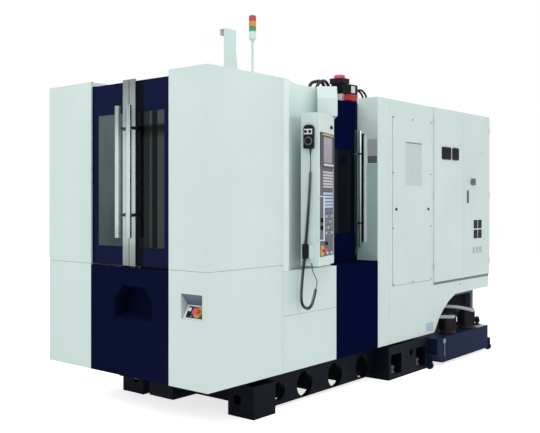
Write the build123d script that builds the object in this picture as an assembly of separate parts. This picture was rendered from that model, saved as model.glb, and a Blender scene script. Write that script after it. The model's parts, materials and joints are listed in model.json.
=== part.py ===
from build123d import *
import math
import os

# Horizontal machining center with a pallet station in front.
# Millimetres. X points to the operator's side, Y to the rear, Z up from the floor.
# The origin lies on the floor, midway between the four anchor bolts of the bed.
# Places along Y are written as depths behind the front panels.

os.makedirs("parts", exist_ok=True)

# Anchor bolts of the bed
anchor_half_width = 685.0
anchor_half_length = 1070.0
anchor_hole = 13.0
front_anchor_depth = 654.0
front_panels = -anchor_half_length - front_anchor_depth

# Outer covers
right_side = 793.0
left_side = 947.0
cover_bottom = 306.0
cover_top = 2460.0
front_seam = 1096.0
side_seam = 1050.0
middle_seam = 720.0
seam = 2.0
sheet = 3.0
fold = 18.0
door_half = 423.0
front_cover_length = 789.0
trough_start = 855.0
trough_reach = 115.0
bay_start = 1465.0
bay_end = 2086.0
bay_recess = 213.0
strip_step = 3.0
strip_seam = 2277.0
cabinet_start = 3083.0
cabinet_end = 4325.0
door_seam = 3714.0
cabinet_depth = 597.0
cabinet_bottom = 640.0
cabinet_top = 2455.0
left_end = 3100.0

# Front doors
door_setback = 20.0
door_thick = 35.0
door_overlap = 30.0
front_door_top = 2420.0
door_gap = 3.0
post_width = 65.0
post_proud = 10.0
window_bottom = 1234.0
window_top = 2197.0
window_edge = 360.0
pane = 6.0
handle_across = 60.0
handle_reach = 64.0
handle_radius = 20.0
handle_bottom = 1300.0
handle_top = 2243.0
low_standoff = 1463.0
high_standoff = 2083.0
standoff_radius = 12.0

# Operator door
side_door_thick = 40.0
side_door_top = 2416.0
side_window_bottom = 1286.0
side_window_top = 2000.0
side_handle_radius = 16.0
side_handle_reach = 103.0
side_handle_back = 106.0
side_handle_bottom = 1173.0
side_handle_top = 2178.0

# Bed
bed_half = 651.0
bed_start = 756.0
rear_bed_start = 2230.0
rear_bed_end = 2959.0
bed_bottom = 30.0
bed_top = 500.0
rear_bed_top = 640.0
wall = 40.0
rib = 30.0
core_height = 133.0
core_depths = (919.0, 1236.0, 1650.0, 2058.0)
core_radii = (68.5, 100.0, 100.0, 100.0)
foot_inner = 464.0
foot_outer = 713.0
foot_start = 552.0
foot_top = 238.0
foot_bore = 37.0
foot_bore_across = 554.0
foot_bore_height = 121.0
sole = 40.0
rear_foot_outer = 813.0
rear_foot_top = 290.0
pocket_depths = (2269.0, 2708.0)
pocket_length = 178.0
pocket_top = 216.0
tongue_half = 128.0
tongue_start = 320.0
tongue_bottom = 97.0

# Pallets, table and changer
pallet_size = 400.0
pallet_thick = 80.0
pallet_top = 1120.0
changer_depth = 900.0
changer_radius = 430.0
table_rest = 1804.0
fork_gap = 6.0
fork_thick = 30.0
fork_inner = 152.0
fork_outer = 192.0
stub_radius = 135.0
lift_radius = 70.0
lift_gap = 0.3
rail_across = 210.0
rail_width = 45.0
rail_height = 40.0
slide_gap = 0.3
saddle_top = 760.0
saddle_half = 300.0
saddle_length = 520.0
table_radius = 200.0
partition_half = 640.0
partition_thick = 30.0
partition_bottom = 1180.0
partition_top = 2300.0

# Column and spindle
column_start = 2404.0
column_length = 500.0
column_half = 280.0
column_top = 2500.0
window_half = 150.0
column_window_bottom = 1000.0
column_window_top = 1960.0
spindle_height = 1480.0
spindle_nose = 2080.0
head_start = 2180.0
head_half = 190.0
head_neck = 130.0
spindle_radius = 60.0
motor_depth = 2660.0
motor_size = 145.0
motor_top = 2751.0
cap_top = 2790.0

# Tool magazine
disc_across = 815.0
disc_depth = 2350.0
disc_height = 1550.0
disc_radius = 400.0
disc_thick = 15.0
pot_count = 24
pot_radius = 30.0
pot_length = 60.0

# Pendant
pendant_turn = 18.0
pendant_corner_across = 169.0
pendant_corner_depth = 1004.0
pendant_width = 370.0
pendant_thick = 148.0
pendant_bottom = 1081.0
pendant_top = 2218.0
panel_bottom = 1143.0
panel_top = 2080.0
panel_margin = 7.0
pivot_across = -8.0
pivot_depth = 1299.0

# Coolant tank
tank_right = 893.0
tank_left = 560.0
tank_start = 2969.0
tank_main = 3067.0
tank_end = 4075.0
tank_bottom = 36.0
tank_top = 270.0
wheel_radius = 36.0
wheel_depth = 2886.0


def at(depth):
    return front_panels + depth


def block(x0, x1, d0, d1, z0, z1):
    centre = Pos((x0 + x1) / 2, at((d0 + d1) / 2), (z0 + z1) / 2)
    return centre * Box(x1 - x0, d1 - d0, z1 - z0)


def rod_x(radius, x0, x1, depth, z):
    return Pos((x0 + x1) / 2, at(depth), z) * Rot(0, 90, 0) * Cylinder(radius, x1 - x0)


def rod_y(radius, x, d0, d1, z):
    return Pos(x, at((d0 + d1) / 2), z) * Rot(90, 0, 0) * Cylinder(radius, d1 - d0)


def rod_z(radius, x, depth, z0, z1):
    return Pos(x, at(depth), (z0 + z1) / 2) * Cylinder(radius, z1 - z0)


def outline_yz(points, x0, x1):
    corners = [(at(depth), z) for depth, z in points]
    face = Plane.YZ.offset(x0) * make_face(Polyline(*corners, close=True))
    return extrude(face, amount=x1 - x0)


def outline_xz(points, d0, d1):
    face = Plane.XZ.offset(-at(d1)) * make_face(Polyline(*points, close=True))
    return extrude(face, amount=d1 - d0)


def outline_xy(points, z0, z1):
    corners = [(x, at(depth)) for x, depth in points]
    face = Plane.XY.offset(z0) * make_face(Polyline(*corners, close=True))
    return extrude(face, amount=z1 - z0)


def mirrored(solid):
    return mirror(solid, about=Plane.YZ)


bend_share = 0.45


def smooth_tube(corners, radius):
    # A round tube along straight legs, each bend as wide as the shorter leg beside it allows
    bends = []
    for before, corner, after in zip(corners, corners[1:], corners[2:]):
        inward, outward = corner - before, after - corner
        turn = math.radians(inward.get_angle(outward))
        bends.append(bend_share * min(inward.length, outward.length) / math.tan(turn / 2))
    path = FilletPolyline(*corners, radius=bends)
    section = Plane(origin=corners[0], z_dir=(corners[1] - corners[0])) * Circle(radius)
    return sweep(section, path=path)


def save(name, *solids):
    pieces = [piece for solid in solids for piece in solid.solids()]
    body = pieces[0] if len(pieces) == 1 else Compound(children=pieces)
    export_step(body, f"parts/{name}.step")
    return body


# Bed: a T-shaped ribbed casting, open below

def front_foot():
    foot = block(foot_inner, foot_outer, foot_start, bed_start + wall, 0, foot_top)
    foot -= rod_y(foot_bore, foot_bore_across, foot_start, bed_start, foot_bore_height)
    for x in (foot_bore_across - 44, foot_bore_across + 123):
        for z in (foot_bore_height - 80, foot_bore_height + 54):
            foot -= rod_y(6, x, foot_start, foot_start + 25, z)
    foot -= rod_z(anchor_hole, anchor_half_width, front_anchor_depth, 0, foot_top)
    return foot


def bed():
    body = block(-bed_half, bed_half, bed_start, rear_bed_start, bed_bottom, bed_top)
    hollow_top = bed_top - 160
    hollow = block(-bed_half + wall, bed_half - wall, bed_start + wall, rear_bed_start - wall, bed_bottom, hollow_top)
    for depth in cross_ribs:
        hollow -= block(-bed_half, bed_half, depth - rib / 2, depth + rib / 2, bed_bottom, hollow_top)
    hollow -= block(-rib / 2, rib / 2, bed_start, rear_bed_start, bed_bottom, hollow_top)
    body -= hollow
    body -= block(-rail_across + 65, rail_across - 65, 1075, rear_bed_start, bed_top - 100, bed_top)
    for depth, radius in zip(core_depths, core_radii):
        for side in (-1, 1):
            x = side * (bed_half - wall / 2)
            body -= rod_x(radius, x - wall / 2, x + wall / 2, depth, core_height)
    rear = block(-bed_half + 11, bed_half - 11, rear_bed_start, rear_bed_end, bed_bottom, rear_bed_top)
    foot = block(-rear_foot_outer, rear_foot_outer, rear_bed_start, rear_bed_end, 0, rear_foot_top)
    rear += fillet(foot.edges().filter_by(Axis.Z), 12)
    rear -= block(-bed_half + 60, bed_half - 60, rear_bed_start + wall, rear_bed_end - wall, 0, rear_bed_top - 60)
    rear += block(-rib / 2, rib / 2, rear_bed_start, rear_bed_end, bed_bottom, rear_bed_top - 40)
    middle = (rear_bed_start + rear_bed_end) / 2
    rear += block(-bed_half + 11, bed_half - 11, middle - rib / 2, middle + rib / 2, bed_bottom, rear_bed_top - 40)
    for start in pocket_depths:
        for side in (-1, 1):
            inner = side * (bed_half + 4)
            outer = side * rear_foot_outer
            low, high = min(inner, outer), max(inner, outer)
            rear -= block(low, high, start, start + pocket_length, sole, pocket_top)
            hole = start + pocket_length / 2
            rear -= rod_z(18, side * (rear_foot_outer - 52), hole, 0, sole)
    for side in (-1, 1):
        rear -= rod_z(anchor_hole, side * anchor_half_width, front_anchor_depth + 2 * anchor_half_length, 0, sole)
        rear -= rod_x(30, side * (rear_foot_outer - 20) - 20, side * (rear_foot_outer - 20) + 20, 2623, 190)
    body += rear
    foot = front_foot()
    body += foot
    body += mirrored(foot)
    tongue = block(-tongue_half, tongue_half, tongue_start, bed_start + wall, tongue_bottom, tongue_top)
    body += tongue
    boss = rod_z(lift_radius * 2, 0, changer_depth, bed_top, pallet_top - 280)
    body += boss
    body -= rod_z(lift_radius + lift_gap, 0, changer_depth, bed_top - 60, pallet_top - 280)
    for side in (-1, 1):
        body += block(side * rail_across - rail_width / 2, side * rail_across + rail_width / 2,
                      1000, rear_bed_start, bed_top, bed_top + rail_height)
    for depth in cross_rail_depths:
        body += block(-bed_half + 11, bed_half - 11, depth - rail_width / 2, depth + rail_width / 2,
                      rear_bed_top, rear_bed_top + rail_height)
    return body


cross_ribs = (1075.0, 1443.0, 1854.0)
cross_rail_depths = (column_start + 70, column_start + column_length - 70)


def levelling_jacks():
    jacks = []
    for side in (-1, 1):
        for start in pocket_depths:
            x = side * (rear_foot_outer - 52)
            depth = start + pocket_length / 2
            bolt = rod_z(17.7, x, depth, 0, sole + 45)
            nut = extrude(Plane.XY.offset(sole) * Pos(x, at(depth)) * RegularPolygon(30, 6), amount=20)
            head = extrude(Plane.XY.offset(sole + 45) * Pos(x, at(depth)) * RegularPolygon(28, 6), amount=22)
            jacks.append(bolt + nut + head)
    return jacks


# Sheet-metal covers

def upright_sheet(points, z0, z1):
    # A sheet bent along a plan line, its thickness to the left of the line's direction
    corners = [(x, at(depth)) for x, depth in points]
    line = Polyline(*corners)
    return extrude(Plane.XY.offset(z0) * make_face(offset(line, sheet, side=Side.LEFT)), amount=z1 - z0)


def left_front_cover():
    inner = -door_half
    cover = upright_sheet([(inner, fold - 4), (inner, 0), (-left_side, 0),
                           (-left_side, front_cover_length), (-left_side + fold, front_cover_length)][::-1],
                          front_seam + seam / 2, cover_top - 5)
    cover += block(-left_side, inner, 0, front_cover_length, cover_top - 5 - sheet, cover_top - 5)
    cover += block(inner - sheet, inner, 0, front_cover_length, cover_top - 35, cover_top - 5)
    return cover


def left_front_skirt():
    return upright_sheet([(-door_half, fold), (-door_half, 0), (-left_side, 0),
                          (-left_side, front_cover_length), (-left_side + fold, front_cover_length)][::-1],
                         cover_bottom, front_seam - seam / 2)


def right_front_cover():
    cover = upright_sheet([(door_half, fold - 4), (door_half, 0), (right_side, 0),
                           (right_side, front_cover_length - seam / 2),
                           (right_side - fold, front_cover_length - seam / 2)],
                          front_seam + seam / 2, cover_top)
    cover += block(door_half, right_side, 0, front_cover_length - seam / 2, cover_top - sheet, cover_top)
    return cover


button_left = 543.0
button_right = 743.0
button_bottom = 775.0
button_top = 943.0
button_depth = 100.0


def right_front_skirt():
    skirt = upright_sheet([(door_half, fold), (door_half, 0), (right_side, 0),
                           (right_side, front_cover_length - seam / 2),
                           (right_side - fold, front_cover_length - seam / 2)],
                          cover_bottom, front_seam - seam / 2)
    box = block(button_left - sheet, button_right + sheet, 0, button_depth + sheet,
                button_bottom - sheet, button_top + sheet)
    return skirt + box - block(button_left, button_right, 0, button_depth, button_bottom, button_top)


recess_centre = 55.0
recess_bottom = 720.0
recess_shoulder = 862.0
recess_top = 956.0
recess_half = 200.0
recess_top_half = 112.0
recess_depth = 140.0
recess_slope = 45.0
apron_top = 1088.0


def recess_outline(grow):
    return [(recess_centre - recess_half - grow, recess_bottom - grow),
            (recess_centre + recess_half + grow, recess_bottom - grow),
            (recess_centre + recess_half + grow, recess_shoulder),
            (recess_centre + recess_top_half + grow / 2, recess_top + grow),
            (recess_centre - recess_top_half - grow / 2, recess_top + grow),
            (recess_centre - recess_half - grow, recess_shoulder)]


def front_apron():
    reach = door_half - seam
    panel = block(-reach, reach, 0, sheet, cover_bottom, apron_top)
    panel += block(-reach, reach, 0, fold, apron_top - sheet, apron_top)
    panel += outline_xz(recess_outline(sheet), 0, recess_depth + sheet)
    panel -= outline_xz(recess_outline(0), 0, recess_depth)
    floor = outline_yz([(sheet, recess_bottom - sheet), (recess_depth, recess_bottom - sheet),
                        (recess_depth, recess_bottom + recess_slope), (0, recess_bottom)],
                       recess_centre - recess_half - sheet, recess_centre + recess_half + sheet)
    inside = outline_xz(recess_outline(sheet / 2), 0, recess_depth)
    return panel + (floor & inside)


def trough_line(inset):
    # Plan line of the pendant bay: a short straight stretch, a shallow arc and the jamb of the door bay
    start = (right_side - inset, at(front_cover_length + seam / 2))
    bend = (right_side - inset, at(trough_start))
    middle = (right_side - trough_reach - inset, at(1185))
    end = (right_side - 58 - inset, at(bay_start - inset))
    jamb = (right_side - bay_recess + 3, at(bay_start - inset))
    return start, bend, middle, end, jamb


def pendant_bay():
    start, bend, middle, end, jamb = trough_line(0)
    line = Line(start, bend) + ThreePointArc(bend, middle, end) + Line(end, jamb)
    inner_start, inner_bend, inner_middle, inner_end, inner_jamb = trough_line(sheet)
    back = (Line(inner_start, inner_bend) + ThreePointArc(inner_bend, inner_middle, inner_end)
            + Line(inner_end, inner_jamb))
    rim = Line(start, inner_start) + Line(jamb, inner_jamb)
    skin = extrude(Plane.XY.offset(side_seam + seam / 2) * make_face(line + back + rim),
                   amount=cover_top - side_seam - seam / 2)
    lid_edges = (line + Line(jamb, (door_half + seam, at(bay_start)))
                 + Line((door_half + seam, at(bay_start)), (door_half + seam, start[1]))
                 + Line((door_half + seam, start[1]), start))
    lid = extrude(Plane.XY.offset(cover_top - sheet) * make_face(lid_edges), amount=sheet)
    ledge_top = side_seam - seam / 2
    foot_inner_face = right_side - sheet
    feet = block(foot_inner_face - 20, foot_inner_face, 830, 850, ledge_top, ledge_top + 30)
    feet += block(690, 720, bay_start - sheet - 22, bay_start - sheet, ledge_top, ledge_top + 30)
    return skin + lid + feet - arm_solid()


def side_skirts():
    # Two pale panels below the pendant bay, the upper one closed by the ledge under the bay
    start = front_cover_length + seam / 2
    end = bay_start - seam / 2
    upper = block(right_side - sheet, right_side, start, end, middle_seam + seam / 2, side_seam - seam / 2)
    upper += block(right_side - trough_reach, right_side, start, end, side_seam - seam / 2 - sheet,
                   side_seam - seam / 2)
    lower = block(right_side - sheet, right_side, start, end, cover_bottom, middle_seam - seam / 2)
    lower += block(right_side - fold, right_side, start, end, cover_bottom, cover_bottom + sheet)
    return upper, lower


apron_shelf = 263.0
guide_height = 30.0


def side_apron():
    low_depth = bay_start + seam / 2
    high_depth = bay_end - seam / 2
    panel = block(right_side - sheet, right_side, low_depth, high_depth, cover_bottom, side_seam)
    shelf = block(right_side - apron_shelf, right_side, low_depth, high_depth, side_seam - sheet, side_seam)
    plane = right_side - bay_recess
    guide = block(plane - side_door_thick - 12, plane - side_door_thick - 1, low_depth, low_depth + 30,
                  side_seam, side_seam + guide_height)
    guide += block(plane + 1, plane + 9, low_depth, low_depth + 30, side_seam, side_seam + guide_height)
    return panel + shelf + guide


def rear_side_cover():
    # Tall sheet with the arch over the coolant tank, the shallow strip behind it and a screwed access plate
    face = right_side - strip_step
    low = bay_end + seam / 2
    skin_points = [(low, cover_bottom), (3100, cover_bottom), (3111, 317), (3200, 431), (3288, 505), (3402, 579),
                   (3545, 635), (cabinet_end - 10, 643), (cabinet_end - 10, cabinet_door_bottom - 2),
                   (cabinet_start, cabinet_door_bottom - 2), (cabinet_start, cabinet_top), (low, cabinet_top)]
    cover = outline_yz(skin_points, face - sheet, face)
    inner = right_side - bay_recess
    cover += block(inner, face, low, low + sheet, side_seam, cabinet_top)
    cover += block(inner, face, low, cabinet_start, cabinet_top - sheet, cabinet_top)
    cover += block(inner, inner + sheet, low, cabinet_start, 900, cabinet_top)
    groove = 1.5
    cover -= block(face - groove, face, strip_seam - 1, strip_seam + 1, cover_bottom, cabinet_top)
    for z in (middle_seam, side_seam + 4):
        cover -= block(face - groove, face, low, strip_seam, z - 1, z + 1)
    plate = block(face, face + 2, 2334, 3040, 814, 2314)
    return cover + plate


cabinet_door_bottom = 785.0
cabinet_door_thick = 25.0


def cabinet():
    outer = right_side + 7 - cabinet_door_thick
    inner = right_side - cabinet_depth
    shell = block(inner, outer, cabinet_start, cabinet_end, cabinet_bottom, cabinet_top)
    shell -= block(inner + sheet, outer, cabinet_start + sheet, cabinet_end - sheet,
                   cabinet_bottom + sheet, cabinet_top - sheet)
    shell -= block(outer - 6, outer, cabinet_start, cabinet_end, cabinet_bottom, cabinet_door_bottom + 62)
    plate = block(inner + 60, inner + 63, cabinet_start + 60, cabinet_end - 60, cabinet_bottom + 200, cabinet_top - 80)
    rails = [block(inner + sheet, inner + 60, cabinet_start + depth, cabinet_start + depth + 30,
                   cabinet_bottom + 200, cabinet_top - 80) for depth in (80, 1130)]
    for rail in rails:
        shell += rail
    return shell + plate


hinge_proud = 2.0
hinge_radius = 4.0
hinge_heights = (930.0, 1620.0, 2310.0)


def cabinet_door(start, end, hinge_depth):
    inner = right_side + 7 - cabinet_door_thick
    door = block(inner, inner + cabinet_door_thick, start + 1.5, end - 1.5, cabinet_door_bottom, cabinet_top)
    hollow = block(inner, inner + cabinet_door_thick - sheet, start + 21.5, end - 21.5,
                   cabinet_door_bottom + 20, cabinet_top - 20)
    door -= hollow
    for z in hinge_heights:
        door += rod_z(hinge_radius, inner + cabinet_door_thick + hinge_proud, hinge_depth, z - 35, z + 35)
    return door


gauge_depths = ((3241.0, 3434.0), (3464.0, 3604.0))
gauge_height = 2030.0
gauge_tall = 165.0


def front_cabinet_door():
    door = cabinet_door(cabinet_start, door_seam, cabinet_start + 1)
    face = right_side + 7
    for start, end in gauge_depths:
        gauge = block(face - sheet, face + 8, start, end, gauge_height - gauge_tall / 2, gauge_height + gauge_tall / 2)
        door += fillet(gauge.edges().filter_by(Axis.X), 18)
    return door


switch_depth = 3903.0
switch_height = 1757.0
latch_depth = 3796.0


def rear_cabinet_door():
    door = cabinet_door(door_seam, cabinet_end, cabinet_end - 1)
    face = right_side + 7
    for column in (0, 1):
        for row in (0, 1):
            start = 3938 + column * 102
            low = 1171 + row * 102
            for slat in range(5):
                door -= block(face - sheet, face, start + 4, start + 89, low + 6 + slat * 17, low + 17 + slat * 17)
    door -= rod_x(16.3, face - sheet, face, switch_depth, switch_height)
    door += rod_x(14, face, face + 6, 4145, 2060)
    slot = block(face - 1, face + 9, latch_depth - 12, latch_depth + 12, 1538, 1670)
    return door + fillet(slot.edges().filter_by(Axis.X), 11)


def main_switch():
    face = right_side + 7
    knob = rod_x(38, face + 1, face + 12, switch_depth, switch_height)
    grip = block(face + 12, face + 38, switch_depth - 10, switch_depth + 10, switch_height - 34, switch_height + 34)
    return knob + fillet(grip.edges().filter_by(Axis.X), 8) + rod_x(16, face - 12, face + 1, switch_depth, switch_height)


def left_side_cover():
    x = -left_side
    skin = block(x, x + sheet, front_cover_length + seam, left_end, cover_bottom, cover_top - 5)
    skin += block(x, x + fold, front_cover_length + seam, left_end, cover_bottom, cover_bottom + sheet)
    skin += block(x, -door_half, front_cover_length + seam, bay_start, cover_top - 5 - sheet, cover_top - 5)
    skin += block(x, x + 60, bay_start, left_end, cover_top - 5 - sheet, cover_top - 5)
    return skin - block(x, x + sheet, hatch_start - 2, hatch_end + 2, hatch_bottom - 2, hatch_top + 2)


hatch_start = 2050.0
hatch_end = 2650.0
hatch_bottom = 1100.0
hatch_hinge_proud = hinge_radius + 0.5
hatch_top = 2000.0


def magazine_door():
    x = -left_side
    door = block(x, x + 22, hatch_start, hatch_end, hatch_bottom, hatch_top)
    door -= block(x + sheet, x + 22, hatch_start + sheet, hatch_end - sheet, hatch_bottom + sheet, hatch_top - sheet)
    grip = block(x - 8, x, hatch_start + 30, hatch_start + 54, 1480, 1620)
    door += fillet(grip.edges().filter_by(Axis.X), 11)
    for z in (hatch_bottom + 120, hatch_top - 120):
        door += rod_z(hinge_radius, x - hatch_hinge_proud, hatch_end + 1, z - 35, z + 35)
        door += block(x - hatch_hinge_proud - 1, x, hatch_end - 14, hatch_end - 1, z - 35, z + 35)
    return door


def rear_cover():
    inner = right_side - cabinet_depth
    panel = block(-left_side, inner, left_end + 1, left_end + 1 + sheet, cover_bottom, cover_top - 5)
    panel += block(-left_side, inner, left_end + 1, left_end + 1 + fold, cover_bottom, cover_bottom + sheet)
    for column in (-1, 0, 1):
        for slat in range(8):
            x = -430 + column * 260
            z = 1900 + slat * 40
            panel -= block(x - 100, x + 100, left_end + 1, left_end + 1 + sheet, z, z + 14)
    return panel


station_roof_height = 2378.0
ramp_start = 420.0
ramp_end = 500.0
room_roof_height = 2390.0


def roof():
    reach = door_half - seam
    profile = [(60, station_roof_height), (ramp_start, station_roof_height), (ramp_end, cover_top - 3),
               (bay_start, cover_top - 3), (bay_start, cover_top), (ramp_end - 3, cover_top),
               (ramp_start - 3, station_roof_height + sheet), (60, station_roof_height + sheet)]
    sheetwork = outline_yz(profile, -reach, reach)
    sheetwork += block(-reach, reach, bay_start - sheet, bay_start, room_roof_height, cover_top)
    inner = right_side - bay_recess - side_door_thick
    sheetwork += block(-left_side + sheet, inner - 3, bay_start - sheet, 2160, room_roof_height,
                       room_roof_height + sheet)
    rail = block(inner - 25, inner - 3, 985, bay_end, room_roof_height + sheet, room_roof_height + 22)
    post = block(post_across, post_across + 35, post_depth, post_depth + 102, cover_top, post_top)
    post -= block(post_across, post_across + 35 - sheet, post_depth + sheet, post_depth + 102, cover_top + 3, post_top)
    gusset = outline_yz([(post_depth + 102, cover_top), (post_depth + 136, cover_top),
                         (post_depth + 102, cover_top + 260)], post_across + 32, post_across + 35)
    cap = block(post_across - 38, post_across + 10, post_depth - 4, post_depth + 60, post_top, post_top + sheet)
    cap += block(post_across - 38, post_across - 35, post_depth - 4, post_depth + 60, post_top - 45, post_top)
    return sheetwork + post + gusset + cap, rail


post_across = 262.0
post_depth = 724.0
post_top = 2880.0


# Frame that carries the covers on the bed

tube = 40.0
tongue_top = 300.0
cabinet_left = right_side - cabinet_depth

def cover_frame():
    # Square tubes on the bed, the rail of the front doors and the stand of the cabinet
    left = -left_side + sheet
    right = right_side - sheet
    low = rear_foot_top + 20
    high = low + tube
    tubes = []
    for x in (-100, 100 - tube):
        tubes.append(block(x, x + tube, sheet, bed_start, tongue_top, tongue_top + tube))
    tubes.append(block(left, right, rail_end - tube, rail_end, tongue_top + tube, tongue_top + 2 * tube))
    for x in (left, right - tube):
        tubes.append(block(x, x + tube, rail_end, rail_end + tube, low, station_roof_height))
    for depth in (front_cover_length - 45, 1500, 2120):
        tubes.append(block(bed_half, right if depth < bay_end else right - strip_step, depth, depth + tube, low, high))
        tubes.append(block(left, -bed_half, depth, depth + tube, low, high))
    for x in (left, right - tube):
        tubes.append(block(x, x + tube, rail_end + tube, front_cover_length - 45, low, high))
    tubes.append(block(right - tube, right, front_cover_length + seam / 2, 1500, low, high))
    tubes.append(block(right - tube, right, bay_start - 1 - tube, bay_start - 1, high,
                       side_seam - seam / 2 - sheet))
    tubes.append(block(bed_half - 11, right - strip_step, 2860, 2860 + tube, low, high))
    tubes.append(block(left, -bed_half + 11, 2860, 2860 + tube, low, high))
    tubes.append(block(left, left + tube, front_cover_length - 45, front_cover_length - 45 + tube, high, cover_top - 8))
    post_x = right - 130
    tubes.append(block(post_x, post_x + tube, front_cover_length - 45, front_cover_length - 45 + tube,
                       high, cover_top - sheet))
    tubes.append(block(left, left + tube, left_end - tube, left_end, low, cover_top - 8))
    tubes.append(block(left, left + tube, 2860 + tube, left_end - tube, low, high))
    rail = block(left, right, rail_start, rail_end, hanger_bottom - 30.3, hanger_bottom - 0.3)
    stand = []
    beam = 60
    post_back = tank_end + 185
    for x in (cabinet_left + 20, bed_half - 11 - beam):
        stand.append(block(x, x + beam, post_back - beam, post_back, 0, cabinet_bottom - beam))
        stand.append(block(x, x + beam, rear_bed_end, post_back, cabinet_bottom - beam, cabinet_bottom))
    return tubes + [rail] + stand


# Front doors

def front_door(side):
    inner = door_gap
    outer = door_half + door_overlap
    d0 = door_setback
    d1 = door_setback + door_thick
    bottom = front_seam + 4
    door = block(inner, outer, d0, d1, bottom, front_door_top)
    door -= block(inner + sheet, outer - sheet, d0 + sheet, d1, bottom + sheet, front_door_top - sheet)
    door -= block(post_edge + 6, window_edge, d0, d0 + sheet, window_bottom, window_top)
    for x in (90, 380):
        door += block(x, x + 40, d0 + sheet, rail_start + 16, hanger_bottom, hanger_bottom + 24)
    return door if side > 0 else mirrored(door)


post_edge = door_gap + post_width
hanger_bottom = 2350.3
rail_start = door_setback + door_thick + 3
rail_end = 105.0


def door_window(side):
    d0 = door_setback + sheet
    glass = block(post_edge - 4, window_edge + 12, d0, d0 + pane, window_bottom - 12, window_top + 12)
    return glass if side > 0 else mirrored(glass)


def door_post(side):
    # Steel closing strip with its tubular handle on two stand-offs
    strip = block(door_gap, post_edge, door_setback - post_proud, door_setback, front_seam + 3, front_door_top + 15)
    axis = door_setback - handle_reach
    tube = rod_z(handle_radius, handle_across, axis, handle_bottom, handle_top)
    tube = fillet(tube.edges(), 3)
    post = strip + tube
    for z in (low_standoff, high_standoff):
        post += rod_y(standoff_radius, handle_across, axis, door_setback - post_proud, z)
    return post if side > 0 else mirrored(post)


# Operator door

def side_door():
    outer = right_side - bay_recess
    inner = outer - side_door_thick
    low = side_seam + 6
    door = block(inner, outer, bay_start + 1, bay_end - 1, low, side_door_top)
    door -= block(inner, outer - sheet, bay_start + 1 + sheet, bay_end - 1 - sheet, low + sheet, side_door_top - sheet)
    door -= block(outer - sheet, outer, bay_start + 30, bay_end - 165, side_window_bottom, side_window_top)
    for depth in (1560, 1960):
        door += block(inner - 22, inner + 20, depth, depth + 40, room_roof_height + 22.3, side_door_top - 1)
    return door


def side_door_window():
    outer = right_side - bay_recess - sheet
    return block(outer - pane, outer, bay_start + 18, bay_end - 153, side_window_bottom - 12, side_window_top + 12)


def side_door_handle():
    outer = right_side - bay_recess
    depth = bay_end - side_handle_back
    tube = rod_z(side_handle_radius, outer + side_handle_reach, depth, side_handle_bottom, side_handle_top)
    handle = fillet(tube.edges(), 3)
    for z in (1376, 1966):
        handle += rod_x(11, outer, outer + side_handle_reach, depth, z)
    strip = block(outer, outer + 6, depth - 30, depth + 30, side_seam + guide_height + 8, side_door_top - 4)
    return handle + strip


# Table, pallets and changer

def guide_slots(x0, x1, z0, z1):
    return [block(side * rail_across - rail_width / 2 - slide_gap, side * rail_across + rail_width / 2 + slide_gap,
                  x0, x1, z0, z1) for side in (-1, 1)]


def table_saddle():
    start = table_rest - saddle_length / 2
    end = table_rest + saddle_length / 2
    low = bed_top + 4
    saddle = block(-saddle_half, saddle_half, start, end, low, 640)
    for slot in guide_slots(start, end, low, bed_top + rail_height + slide_gap):
        saddle -= slot
    housing = rod_z(table_radius + 25, 0, table_rest, 640, saddle_top)
    return saddle + housing


def rotary_table():
    low = saddle_top + slide_gap
    table = rod_z(table_radius, 0, table_rest, low, low + 110)
    neck = rod_z(stub_radius, 0, table_rest, low + 110, pallet_bottom - 40)
    return table + neck


pallet_bottom = pallet_top - pallet_thick


def pallet(depth, top):
    low = top - pallet_thick
    plate = block(-pallet_size / 2, pallet_size / 2, depth - pallet_size / 2, depth + pallet_size / 2, low, top)
    plate = chamfer(plate.edges().filter_by(Axis.Z), 25)
    stub = rod_z(stub_radius, 0, depth, low - 40, low)
    body = plate + stub
    pitch = 80
    for column in range(-2, 3):
        for row in range(-2, 3):
            body -= rod_z(pallet_hole, column * pitch, depth + row * pitch, top - 40, top)
    return body


pallet_hole = 7.0


def changer_lift():
    low = bed_top - 20
    shaft = rod_z(lift_radius, 0, changer_depth, low, pallet_bottom - 110)
    return shaft


fork_top = pallet_bottom - fork_gap
fork_low = fork_top - fork_thick


def changer_fork():
    # Hub with one U-shaped fork to each side and the partition between them
    hub_low = pallet_bottom - 110 + slide_gap
    hub = rod_z(120, 0, changer_depth, hub_low, fork_top)
    body = hub
    reach = changer_radius + 150
    for side in (-1, 1):
        for x in (-fork_outer, fork_inner):
            near = changer_depth
            far = changer_depth + side * reach
            body += block(x, x + fork_outer - fork_inner, min(near, far), max(near, far), fork_low, fork_top)
        cross = changer_depth + side * 175
        body += block(-fork_outer, fork_outer, min(changer_depth, cross), max(changer_depth, cross),
                      fork_low, fork_top)
    foot = block(-fork_outer, fork_outer, changer_depth - 30, changer_depth + 30, fork_top, partition_bottom)
    wall_plate = block(-partition_half, partition_half, changer_depth - partition_thick / 2,
                       changer_depth + partition_thick / 2, partition_bottom, partition_top)
    rim = 20
    for d0, d1 in ((-partition_thick / 2, -2), (2, partition_thick / 2)):
        wall_plate -= block(-partition_half + rim, partition_half - rim, changer_depth + d0, changer_depth + d1,
                            partition_bottom + rim, partition_top - rim)
    return body + foot + wall_plate


# Column, head and spindle

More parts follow.
